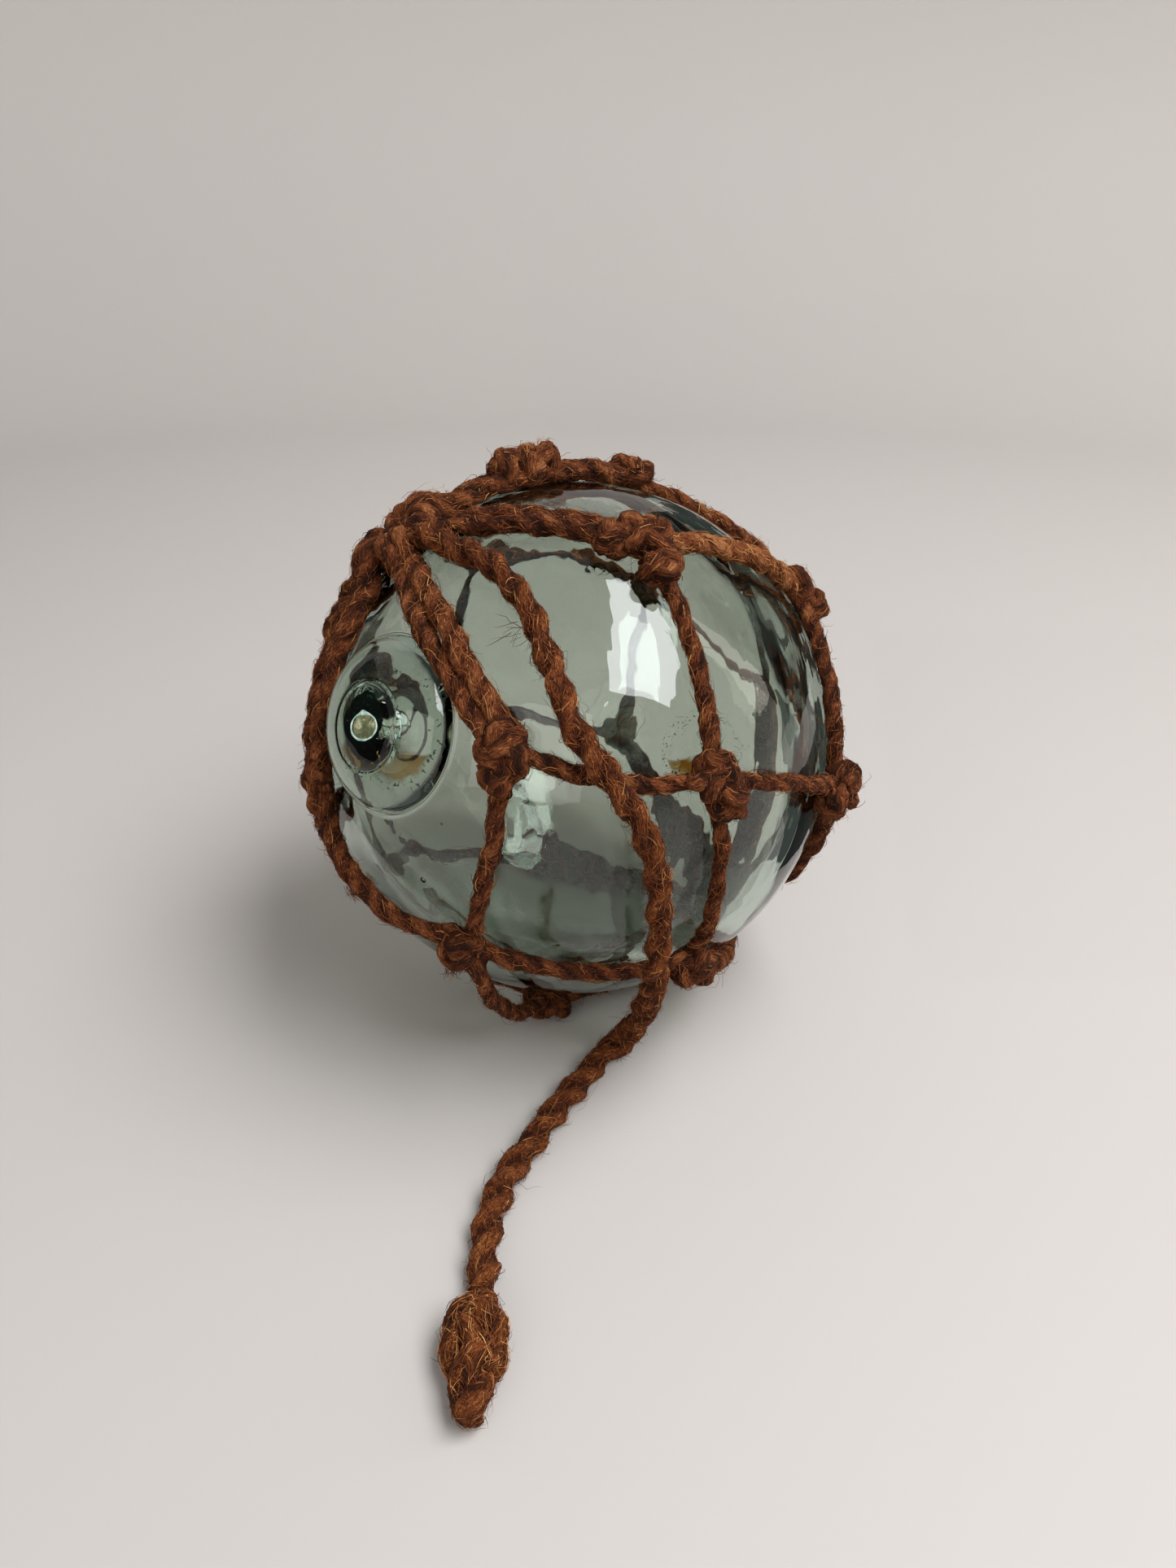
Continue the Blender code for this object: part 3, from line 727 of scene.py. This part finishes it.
# Frayed cord ends, as tufts from a place on the net towards another:
# place, height in mm, towards, height, amount, length, cone, pale
frayed = (
    ((33.6, 209), 9.5, (38.0, 209), 10.5, 90, 3.0, 0.55, 0.75),
    ((75.8, 28.5), 4, (79.6, 31.9), 4, 60, 5.0, 0.22, 0.25),
    ((119.8, 144.0), 4, (124.8, 143.0), 4, 60, 7.0, 0.2, 0.3),
    ((95.5, 48.0), 4, (100.5, 39.0), 4, 50, 4.5, 0.22, 0.35),
    ((86.4, 65.9), 3, (81.6, 67.9), 4, 30, 5.5, 0.12, 0.5),
    ((45.5, 112.0), 9, (43.5, 105.0), 11, 9, 6.5, 0.4, 0.12),
    ((48.5, 114.0), 9, (50.0, 106.0), 10, 7, 5.0, 0.4, 0.1),
    ((2.0, 190), 8, (2.0, 120), 9, 60, 3.0, 1.2, 0.4),
)
tufts = []
for n, (place, height, toward, rise, amount, length, cone, pale) in enumerate(frayed):
    root = overBall(*place, height * mm)
    way = unit(overBall(*toward, rise * mm) - root)
    look = {"cone": cone, "length": length * mm, "pale": pale, "bundle": 0.8 * mm, "curl": 0.45 * mm, "width": 0.2 * mm}
    tufts.append(tuft(root, way, amount, look, 500 + n))
makePiece("net_frayed_ends", tufts, looseFibre)


# Glass: a blown shell with its wall, turned about the seal's axis

shellShape = {
    "rings": 130, "around": 200, "domeRings": 100, "waves": 0.04 * mm, "innerWaves": 0.35 * mm,
    # The button of glass that closed the blowing hole: its middle off the axis, its edge, rise and groove
    "shift": (0.45 * mm, 1.6 * mm), "button": 11.2 * mm, "buttonRise": 0.22 * mm,
    "groove": 0.34 * mm, "grooveWide": 0.55 * mm,
    # The neck left open under the seal, as radius and height in mm
    "neck": ((0, 76.0), (1.6, 75.7), (2.8, 74.8), (3.6, 73.3), (4.8, 71.4), (7.0, 69.4)),
    # Round bubbles caught in the wall: net place, depth under the surface and radius in mm
    "seeds": (
        (73.6, 57.6, 1.6, 0.9), (74, 160, 1.8, 0.8), (64, 70, 2.6, 0.35), (98, 64, 2.0, 0.4),
        (120, 200, 2.2, 0.5), (40, 250, 2.0, 0.6), (100, 300, 2.4, 0.5),
    ),
}


def turnedSurface(profile, inward, roughness):
    # Profile (radius, height) turned about the seal's axis, with slow waves added along the outward direction
    v = 2 * math.pi * np.arange(shellShape["around"])[None, :] / shellShape["around"]
    r, h = profile[1:-1, :1], profile[1:-1, 1:]
    local = np.stack([r * np.cos(v), r * np.sin(v), h + 0 * v], axis=-1)
    way = unit(local)
    x, y, z = way[..., 0], way[..., 1], way[..., 2]
    slow = np.sin(5 * x + 4 * y) + np.sin(6 * y - 5 * z + 1) + np.sin(7 * z + 4 * x + 2) + 0.3 * np.sin(15 * y + 9 * z)
    if inward:
        slow = slow + 0.25 * np.sin(22 * x + 9 * z) + 0.25 * np.sin(19 * y - 12 * x + 2) + 0.2 * np.sin(26 * z + 8 * y)
    local = local + way * (roughness * slow * np.clip((1 - z) * 12, 0, 1))[..., None]
    # The button sits a little off the axis
    shift = np.array([*shellShape["shift"], 0])
    near = np.exp(-((r / (16 * mm)) ** 6)) * (h > 60 * mm)
    local = local + near[..., None] * shift
    poles = np.array([[0, 0, profile[0, 1]], [0, 0, profile[-1, 1]]]) + np.outer(profile[[0, -1], 1] > 60 * mm, shift)
    local, poles = (p @ sealTurn.T + ball["centre"] for p in (local, poles))
    made = gridMesh(local, False, poles, True)
    if inward:
        made["quads"], made["tris"] = made["quads"][:, ::-1], made["tris"][:, ::-1]
    return made


def outerProfile():
    # The seal's half ellipse with a raised button inside a groove, then the ball's arc
    turn = np.linspace(0.0, math.pi / 2, shellShape["domeRings"])
    r = ball["sealRadius"] * np.sin(turn)
    past = (r - shellShape["button"]) / shellShape["grooveWide"]
    button = shellShape["buttonRise"] * (0.5 - 0.5 * np.tanh(past)) - shellShape["groove"] * np.exp(-(past**2))
    dome = np.stack([r, sealLevel + ball["sealDome"] * np.cos(turn) + button], axis=1)
    turn = np.linspace(math.asin(ball["sealRadius"] / ball["radius"]), math.pi, shellShape["rings"])[1:]
    return np.concatenate([dome, ball["radius"] * np.stack([np.sin(turn), np.cos(turn)], axis=1)])


def innerProfile():
    # A smaller arc, thicker away from the seal, with a narrow neck left open under the seal
    turn = np.linspace(math.radians(10), math.pi, shellShape["rings"])
    inside = ball["radius"] - ball["wall"]
    bulb = inside * np.stack([np.sin(turn), np.cos(turn)], axis=1)
    neck = np.array(shellShape["neck"]) * mm
    neck = smoothPath(np.concatenate([neck, bulb[:1]])[:, [0, 1, 1]], 0.5 * mm)[:, :2]
    return np.concatenate([neck[:-1], bulb])


def seeds():
    # Small spheres: radius * (sin u cos v, sin u sin v, cos u)
    u, v = np.linspace(0, math.pi, 12)[1:-1, None], 2 * math.pi * np.arange(18)[None, :] / 18
    shape = np.stack([np.sin(u) * np.cos(v), np.sin(u) * np.sin(v), np.cos(u) + 0 * v], axis=-1)
    blocks = []
    for polar, azimuth, depth, radius in shellShape["seeds"]:
        middle = overBall(polar, azimuth, -depth * mm)
        poles = np.array([[0, 0, radius * mm], [0, 0, -radius * mm]]) + middle
        blocks.append(gridMesh(shape * radius * mm + middle, False, poles))
    return blocks


def glassMaterial():
    # Bottle glass blown by hand: pale sea green and clear, deeper where it is thick, with drawn lines
    made, tree = newMaterial("pale green blown glass")
    place = addNode(tree, "TexCoord")
    # The seal's own axes: down the ball, to the right, and out
    local = addNode(
        tree, "Mapping", {"vector_type": "TEXTURE"}, Vector=place.outputs["Object"], Location=tuple(ball["centre"]),
        Rotation=(0, math.radians(90 - ball["sealElevation"]), math.radians(ball["sealHeading"])),
    )
    # Drawn lines 1.7 to 3.3 mm apart, round the seal's axis
    rings = addNode(tree, "Mapping", Vector=local, Scale=(10, 10, 300))
    drawn = addNode(tree, "TexNoise", Vector=rings, Scale=1.0, Detail=1.5, Roughness=0.45)
    lines = addNode(tree, "Bump", Strength=1.0, Distance=0.045 * mm, Height=drawn)
    # Hammered ripples 8 mm across
    ripple = addNode(tree, "TexNoise", Vector=local, Scale=125.0, Detail=1.0, Roughness=0.4)
    bump = addNode(tree, "Bump", Strength=1.0, Distance=0.13 * mm, Height=ripple, Normal=lines)
    # Places on the seal, from the button's middle; only the seal's side is stained
    moved = addNode(tree, "VectorMath", {"operation": "SUBTRACT"}, i0=local, i1=(*shellShape["shift"], 0))
    parts = addNode(tree, "SeparateXYZ", Vector=moved)
    flat = addNode(tree, "CombineXYZ", X=parts.outputs["X"], Y=parts.outputs["Y"])
    far = addNode(tree, "VectorMath", {"operation": "LENGTH"}, i0=flat)
    # Grit 4 mm across makes every edge ragged
    grit = addNode(tree, "TexNoise", Vector=local, Scale=260.0, Detail=4.0, Roughness=0.65)
    ragged = addNode(tree, "Math", {"operation": "MULTIPLY_ADD"}, i0=grit, i1=0.004, i2=far.outputs["Value"])
    below = addNode(tree, "Math", {"operation": "LESS_THAN"}, i0=parts.outputs["Z"], i1=0.0)
    spread = addNode(tree, "Math", {"operation": "MULTIPLY_ADD"}, i0=ragged, i1=50.0, i2=below)
    # Greener inside the button, where the glass is thickest
    greens = ((0.0, "#dbe9d9"), (0.60, "#d6e6d4"), (0.70, "#dfe5d8"), (0.95, "#eaede6"))
    ramp = addNode(tree, "ValToRGB", {"stops": greens}, Fac=spread)
    # Rusty stain low on the button in clouds 5 mm across, from soil under the hot glass
    along = addNode(tree, "VectorMath", {"operation": "DOT_PRODUCT"}, i0=flat, i1=(0.95, 0.31, 0.0))
    stain = addNode(tree, "TexNoise", Vector=moved, Scale=190.0, Detail=3.0, Roughness=0.6)
    low = addNode(tree, "Math", {"operation": "MULTIPLY_ADD"}, i0=stain, i1=0.006, i2=along.outputs["Value"])
    start = addNode(tree, "MapRange", Value=low, i1=0.0072, i2=0.0084)
    reach = addNode(tree, "MapRange", Value=ragged, i1=0.0132, i2=0.0120)
    both = addNode(tree, "Math", {"operation": "MULTIPLY"}, i0=start, i1=reach)
    rust = addNode(tree, "Mix", {"data_type": "RGBA"}, i0=stain, i6=toLinear("#b5802f"), i7=toLinear("#623408"))
    amber = addNode(tree, "Mix", {"data_type": "RGBA"}, i0=both, i6=ramp, i7=rust.outputs[2])
    # Fine dark specks of ash along the button's edge, drawn at 0.8 mm
    ash = addNode(tree, "TexNoise", Vector=local, Scale=1300.0, Detail=1.0)
    speck = addNode(tree, "MapRange", Value=ash, i1=0.62, i2=0.66)
    around = addNode(tree, "MapRange", Value=ragged, i1=0.0158, i2=0.0148)
    inner = addNode(tree, "MapRange", Value=ragged, i1=0.0118, i2=0.0128)
    edge = addNode(tree, "Math", {"operation": "MULTIPLY"}, i0=around, i1=inner)
    dotted = addNode(tree, "Math", {"operation": "MULTIPLY"}, i0=speck, i1=edge)
    tint = addNode(tree, "Mix", {"data_type": "RGBA"}, i0=dotted, i6=amber.outputs[2], i7=toLinear("#1d2a22"))
    shader = addNode(
        tree, "BsdfPrincipled", Base_Color=tint.outputs[2], Roughness=0.0, IOR=1.5,
        Transmission_Weight=1.0, Normal=bump,
    )
    depth = addNode(tree, "VolumeAbsorption", Color=(0.25, 0.5, 0.40, 1.0), Density=30.0)
    addNode(tree, "OutputMaterial", Surface=shader, Volume=depth)
    return made


walls = [
    turnedSurface(outerProfile(), False, shellShape["waves"]),
    turnedSurface(innerProfile(), True, shellShape["innerWaves"]),
]
shell = makePiece("blown_glass_shell", walls + seeds(), glassMaterial())
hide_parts("glass_ball")


# What is caught in the seal: a dark pool round a bright ringed bubble, the pool a painted dark reflection and the ring
# a painted glowing reflection, and flecks of ash

caught = {
    "middle": (0.46 * mm, 1.62 * mm), "depth": 2.0 * mm, "thick": 0.5 * mm,
    # The pool's radius in mm by angle, 0 down the ball and 90 to the right
    "pool": (
        (0, 8.2), (18, 8.4), (36, 9.1), (50, 9.0), (57, 6.4), (66, 5.3), (101, 5.4), (115, 5.9), (129, 6.4), (149, 7.1),
        (160, 7.0), (174, 7.6), (186, 8.5), (198, 9.0), (217, 8.4), (235, 8.5), (251, 8.0), (270, 8.8), (285, 8.4),
        (300, 8.0), (344, 7.9),
    ),
    "ragged": 0.22 * mm, "ringHalf": (3.3 * mm, 4.6 * mm), "ringTurn": 23.0, "ringTube": 0.29 * mm,
    # Groups of flecks: how many, angles, radii, half length and half width, all in mm
    "flecks": (
        (26, (228, 345), (10.3, 12.2), 0.28, 0.16),
        (22, (150, 238), (8.9, 12.6), 0.75, 0.17),
        (16, (345, 380), (10.2, 12.8), 0.34, 0.18),
        (9, (76, 112), (6.4, 9.8), 0.22, 0.2),
        (12, (112, 150), (8.6, 12.0), 0.3, 0.15),
        (9, (90, 300), (13.0, 19.0), 0.24, 0.16),
    ),
    # Pale crizzled glass to the right of the pool, brightened by the rim's painted glow: angle, radius, half length,
    # half width, lean
    "brightFlecks": (
        (126, 11.3, 0.95, 0.42, 0.2), (122, 11.8, 0.5, 0.3, 1.0), (112, 11.7, 1.3, 0.16, 0.1),
        (100, 11.6, 1.2, 0.2, 0.0), (152, 8.8, 0.6, 0.16, 0.6), (58, 8.0, 0.5, 0.14, 0.4),
        (215, 10.6, 1.5, 0.16, 0.1), (240, 10.9, 1.3, 0.13, -0.1),
    ),
}


def underDome(x, y, depth):
    # A place from the bubble's middle, at a depth under the seal: level + dome * sqrt(1 - (r / radius)^2) - depth
    x, y = x + caught["middle"][0], y + caught["middle"][1]
    r = np.hypot(x, y)
    high = sealLevel + ball["sealDome"] * np.sqrt(np.maximum(1 - (r / ball["sealRadius"]) ** 2, 0)) - depth
    return np.stack([x, y, high], axis=-1) @ sealTurn.T + ball["centre"]


def roundRing(r, angle, depth):
    # A radius by angle, laid under the dome
    return underDome(r * np.cos(angle)[:, None], r * np.sin(angle)[:, None], depth)


def ringHole(angle):
    # The bubble's outline: an ellipse, as a radius by angle
    a = angle - math.radians(caught["ringTurn"])
    p, q = caught["ringHalf"]
    return p * q / np.sqrt((q * np.cos(a)) ** 2 + (p * np.sin(a)) ** 2)


def paintedReflectionPool():
    # A flat ring between the bubble and the pool's edge, its section a thin rounded slab: a dark sheet that paints the
    # seal's dark reflection
    angle = 2 * math.pi * np.arange(240) / 240
    turns, radii = np.array(caught["pool"]).T
    edge = np.interp(np.degrees(angle), np.append(turns, 360), np.append(radii, radii[0])) * mm
    rough = waves(71, 0 * angle, angle * 6, 7, 1.0) + 0.6 * waves(72, 0 * angle, angle * 17, 7, 1.0)
    edge = edge + caught["ragged"] * rough
    hole = ringHole(angle) - 0.1 * mm
    turn = 2 * math.pi * np.arange(12)[None, :] / 12
    share = 0.5 + 0.5 * np.cos(turn)
    r = hole[:, None] + (edge - hole)[:, None] * share
    return gridMesh(roundRing(r, angle, caught["depth"] + caught["thick"] / 2 * np.sin(turn)), True)


def paintedRimReflection():
    # The bubble's bright edge, a painted reflection that glows: a tube along the ellipse, thicker at its top and lower
    # left
    angle = 2 * math.pi * np.arange(96) / 96
    degrees = np.degrees(angle)
    lobes = 1.3 * np.exp(-(((degrees - 205) / 20) ** 2)) + 0.5 * np.exp(-(((degrees - 320) / 42) ** 2))
    tube = caught["ringTube"] * (0.85 + lobes + 0.25 * np.cos(7 * angle) * np.cos(3 * angle + 1))
    turn = 2 * math.pi * np.arange(10)[None, :] / 10
    r = (ringHole(angle) + 0.4 * lobes * caught["ringTube"])[:, None] + tube[:, None] * np.cos(turn)
    return gridMesh(roundRing(r, angle, caught["depth"] - 0.55 * mm + 0.6 * tube[:, None] * np.sin(turn)), True)


def fleck(angle, radius, depth, halfLong, halfWide, lean):
    # A small ellipsoid lying under the dome, its long axis leaning from the way round
    u, v = np.linspace(0, math.pi, 7)[:, None], 2 * math.pi * np.arange(8)[None, :] / 8
    p, q, s = halfLong * np.cos(u) + 0 * v, halfWide * np.sin(u) * np.cos(v), 0.1 * mm * np.sin(u) * np.sin(v)
    c, d = math.cos(angle + math.pi / 2 + lean), math.sin(angle + math.pi / 2 + lean)
    co = underDome(radius * math.cos(angle) + c * p - d * q, radius * math.sin(angle) + d * p + c * q, depth + s)
    return gridMesh(co[1:-1], False, co[[0, -1], 0], True)


def ashFlecks():
    draw = np.random.default_rng(61)
    return [
        fleck(
            math.radians(draw.uniform(*angles)), draw.uniform(*radii) * mm, draw.uniform(0.7, 1.6) * mm,
            halfLong * draw.uniform(0.5, 1.4) * mm, halfWide * draw.uniform(0.6, 1.3) * mm, draw.normal(0.3, 0.7),
        )
        for amount, angles, radii, halfLong, halfWide in caught["flecks"] for _ in range(amount)
    ]


def brightFlecks():
    return [
        fleck(math.radians(a), r * mm, 1.0 * mm, p * mm, q * mm, lean) for a, r, p, q, lean in caught["brightFlecks"]
    ]


def bubbleFloor():
    # The creamy glass seen through the bubble, with a painted glow: a thin slab as wide as the hole, a little deeper
    angle = 2 * math.pi * np.arange(60) / 60
    turn = np.linspace(0, math.pi, 9)[1:-1]
    share = np.concatenate([[0], np.linspace(0.15, 0.9, 6), 0.92 + 0.08 * np.sin(turn), np.linspace(0.9, 0.15, 6), [0]])
    half = np.concatenate([-np.ones(7), -np.cos(turn), np.ones(7)])
    grid = roundRing((ringHole(angle)[:, None] + 0.25 * mm) * share, angle, caught["depth"] + 1.3 * mm + 0.15 * mm * half)
    grid = grid.transpose(1, 0, 2)
    return gridMesh(grid[1:-1], False, grid[[0, -1], 0], True)


def cloudedMaterial(name, scale, detail, roughness, distortion, stops, glow=0.0, **finish):
    # Glass of uneven colour: clouds of noise through a ramp, and a painted glow that stands in for the light that a
    # bubble gathers
    made, tree = newMaterial(name)
    place = addNode(tree, "TexCoord")
    cloud = addNode(
        tree, "TexNoise", Vector=place.outputs["Object"], Scale=scale, Detail=detail, Roughness=roughness,
        Distortion=distortion,
    )
    ramp = addNode(tree, "ValToRGB", {"stops": stops}, Fac=cloud)
    shader = addNode(tree, "BsdfPrincipled", Base_Color=ramp, **finish)
    if glow:
        tree.links.new(ramp.outputs[0], shader.inputs["Emission Color"])
        shader.inputs["Emission Strength"].default_value = glow
    addNode(tree, "OutputMaterial", Surface=shader)
    return made


# Dull cream glass with olive clouds 3 mm across, and a painted glow
paintedGlowCreamGlass = cloudedMaterial(
    "dull cream glass with painted glow", 330.0, 4.0, 0.6, 0.8,
    ((0.38, "#6d6a4e"), (0.5, "#a39b7c"), (0.56, "#d5cba8"), (0.68, "#efe8cc")), glow=0.4, Roughness=0.5,
)
# Nearly black glass, with green edges and a few pale scratches, in clouds 2.4 mm across: a painted dark reflection in
# the pool, and ash in the flecks
ashAndPaintedReflection = cloudedMaterial(
    "dark ash and painted dark reflection", 420.0, 4.0, 0.7, 1.5,
    ((0.45, "#020806"), (0.60, "#07170f"), (0.66, "#1f3a2c"), (0.74, "#8fa697")),
    Roughness=0.4, Specular_IOR_Level=0.05,
)
# The silvered edge of an air bubble in green glass, as a painted reflection with a painted glow: pale cyan, with
# brighter patches 1.4 mm across
paintedGlowRimAndFlecks = cloudedMaterial(
    "painted bubble rim reflection and glowing flecks", 700.0, 3.0, 0.6, 0.0, ((0.35, "#7fb3b4"), (0.5, "#cfeceb"), (0.62, "#ffffff")),
    glow=0.5, Roughness=0.18, Metallic=0.4,
)
makePiece("seal_bubble_floor", [bubbleFloor()], paintedGlowCreamGlass)
makePiece("seal_ash_and_painted_dark_reflection", [paintedReflectionPool()] + ashFlecks(), ashAndPaintedReflection)
makePiece("seal_painted_rim_reflection_and_flecks", [paintedRimReflection()] + brightFlecks(), paintedGlowRimAndFlecks)


# Studio: a plain pale floor that sweeps up all round, and soft light from the right

studioLight = {
    "surface": "#b6b1ac",
    # A round floor: its middle, the radius of its flat part, of its sweep, and the wall's height
    "middle": (0.0, -0.5), "flat": 1.15, "sweep": 0.35, "wall": 1.7,
    "world": ((0.0, "#5d5f62"), (0.45, "#8b8d90"), (0.62, "#c9cdd2"), (1.0, "#dfe3e8")),
    "worldStrength": 0.5,
    "aim": (0, 0, 0.08),
    # Name, place, size along and across, turn about its own beam in degrees, power, colour
    "lights": (
        ("window light", (0.60, -0.28, 1.20), (1.25, 0.66), 32.6, 26.0, "#f6f8fc"),
        ("right fill", (1.1, 0.15, 0.7), (0.5, 0.9), 0.0, 2.5, "#fff4e8"),
        ("front fill", (-0.45, -1.25, 0.65), (1.3, 1.0), 0.0, 7.0, "#f6f3ee"),
    ),
    # Dark cards out of the picture, which draw the glass's edges: one corner, the next, and the side from there
    "cardColour": "#2b302e",
    "cards": (
        ((0.70, 0.10, 0.0), (0.50, 0.70, 0.0), (0, 0, 0.9)),
        ((0.50, 0.70, 0.0), (0.26, 0.84, 0.0), (0, 0, 0.9)),
        ((-0.80, -0.35, 0.0), (-0.80, 0.40, 0.0), (0, 0, 0.5)),
        ((-0.62, 0.45, 0.0), (-0.66, 0.75, 0.0), (0, 0, 0.5)),
        ((-0.05, 0.86, 0.0), (0.55, 0.80, 0.0), (0, 0, 0.25)),
        ((0.11, -0.02, 0.002), (0.15, 0.25, 0.002), (0.17, 0, 0)),
    ),
}


def studio():
    surface, tree = newMaterial("plain pale surface")
    shader = addNode(tree, "BsdfPrincipled", Base_Color=toLinear(studioLight["surface"]), Roughness=0.6)
    addNode(tree, "OutputMaterial", Surface=shader)
    turn = np.linspace(0, math.pi / 2, 24)
    flat, sweep = studioLight["flat"], studioLight["sweep"]
    curve = np.concatenate([
        [[0.02, 0.0], [0.6, 0.0]], np.stack([flat + sweep * np.sin(turn), sweep - sweep * np.cos(turn)], axis=1),
        [[flat + sweep, studioLight["wall"]]],
    ])
    # The curve turned about the studio's middle
    around = 2 * math.pi * np.arange(128) / 128
    x = studioLight["middle"][0] + curve[:, :1] * np.cos(around)
    y = studioLight["middle"][1] + curve[:, :1] * np.sin(around)
    bowl = gridMesh(np.stack([x, y, curve[:, 1:] + 0 * x], axis=-1), turned=True)
    mesh = bpy.data.meshes.new("surface")
    mesh.from_pydata(bowl["co"].tolist(), [], bowl["quads"].tolist() + [list(range(128))])
    mesh.shade_smooth()
    mesh.materials.append(surface)
    floor = bpy.data.objects.new("surface", mesh)
    bpy.context.scene.collection.objects.link(floor)
    world = bpy.data.worlds.new("studio")
    bpy.context.scene.world = world
    world.use_nodes = True
    tree = world.node_tree
    tree.nodes.clear()
    # Darker towards the camera's side, so that the glass has something dark to show at its edges
    way = addNode(tree, "TexCoord")
    lean = addNode(tree, "VectorMath", {"operation": "DOT_PRODUCT"}, i0=way.outputs["Generated"], i1=(0.15, 0.62, 0.77))
    share = addNode(tree, "Math", {"operation": "MULTIPLY_ADD"}, i0=lean.outputs["Value"], i1=0.5, i2=0.5)
    ramp = addNode(tree, "ValToRGB", {"stops": studioLight["world"]}, Fac=share)
    sky = addNode(tree, "Background", Color=ramp, Strength=studioLight["worldStrength"])
    addNode(tree, "OutputWorld", Surface=sky)
    card, tree = newMaterial("dark card")
    shader = addNode(tree, "BsdfPrincipled", Base_Color=toLinear(studioLight["cardColour"]), Roughness=0.9)
    addNode(tree, "OutputMaterial", Surface=shader)
    corners, faces = [], []
    for a, b, side in np.array(studioLight["cards"]):
        faces.append([len(corners) + n for n in range(4)])
        corners += [tuple(c) for c in (a, b, b + side, a + side)]
    mesh = bpy.data.meshes.new("dark cards")
    mesh.from_pydata(corners, [], faces)
    mesh.materials.append(card)
    cards = bpy.data.objects.new("dark_cards", mesh)
    cards.visible_camera = cards.visible_diffuse = cards.visible_shadow = False
    bpy.context.scene.collection.objects.link(cards)
    for name, place, size, spin, power, colour in studioLight["lights"]:
        lamp = bpy.data.lights.new(name, "AREA")
        lamp.shape = "RECTANGLE"
        lamp.size, lamp.size_y = size
        lamp.energy = power
        lamp.color = toLinear(colour)[:3]
        made = bpy.data.objects.new(name, lamp)
        made.location = place
        way = unit(np.array(place) - np.array(studioLight["aim"]))
        level = unit(np.cross([0, 0, 1], way))
        wide = math.cos(math.radians(spin)) * level + math.sin(math.radians(spin)) * np.cross(way, level)
        axes = np.stack([wide, np.cross(way, wide), way], axis=1)
        made.rotation_euler = Matrix(axes.tolist()).to_euler()
        made.visible_camera = False
        bpy.context.scene.collection.objects.link(made)


studio()
bpy.context.scene.view_settings.view_transform = "Standard"
bpy.context.view_layer.update()
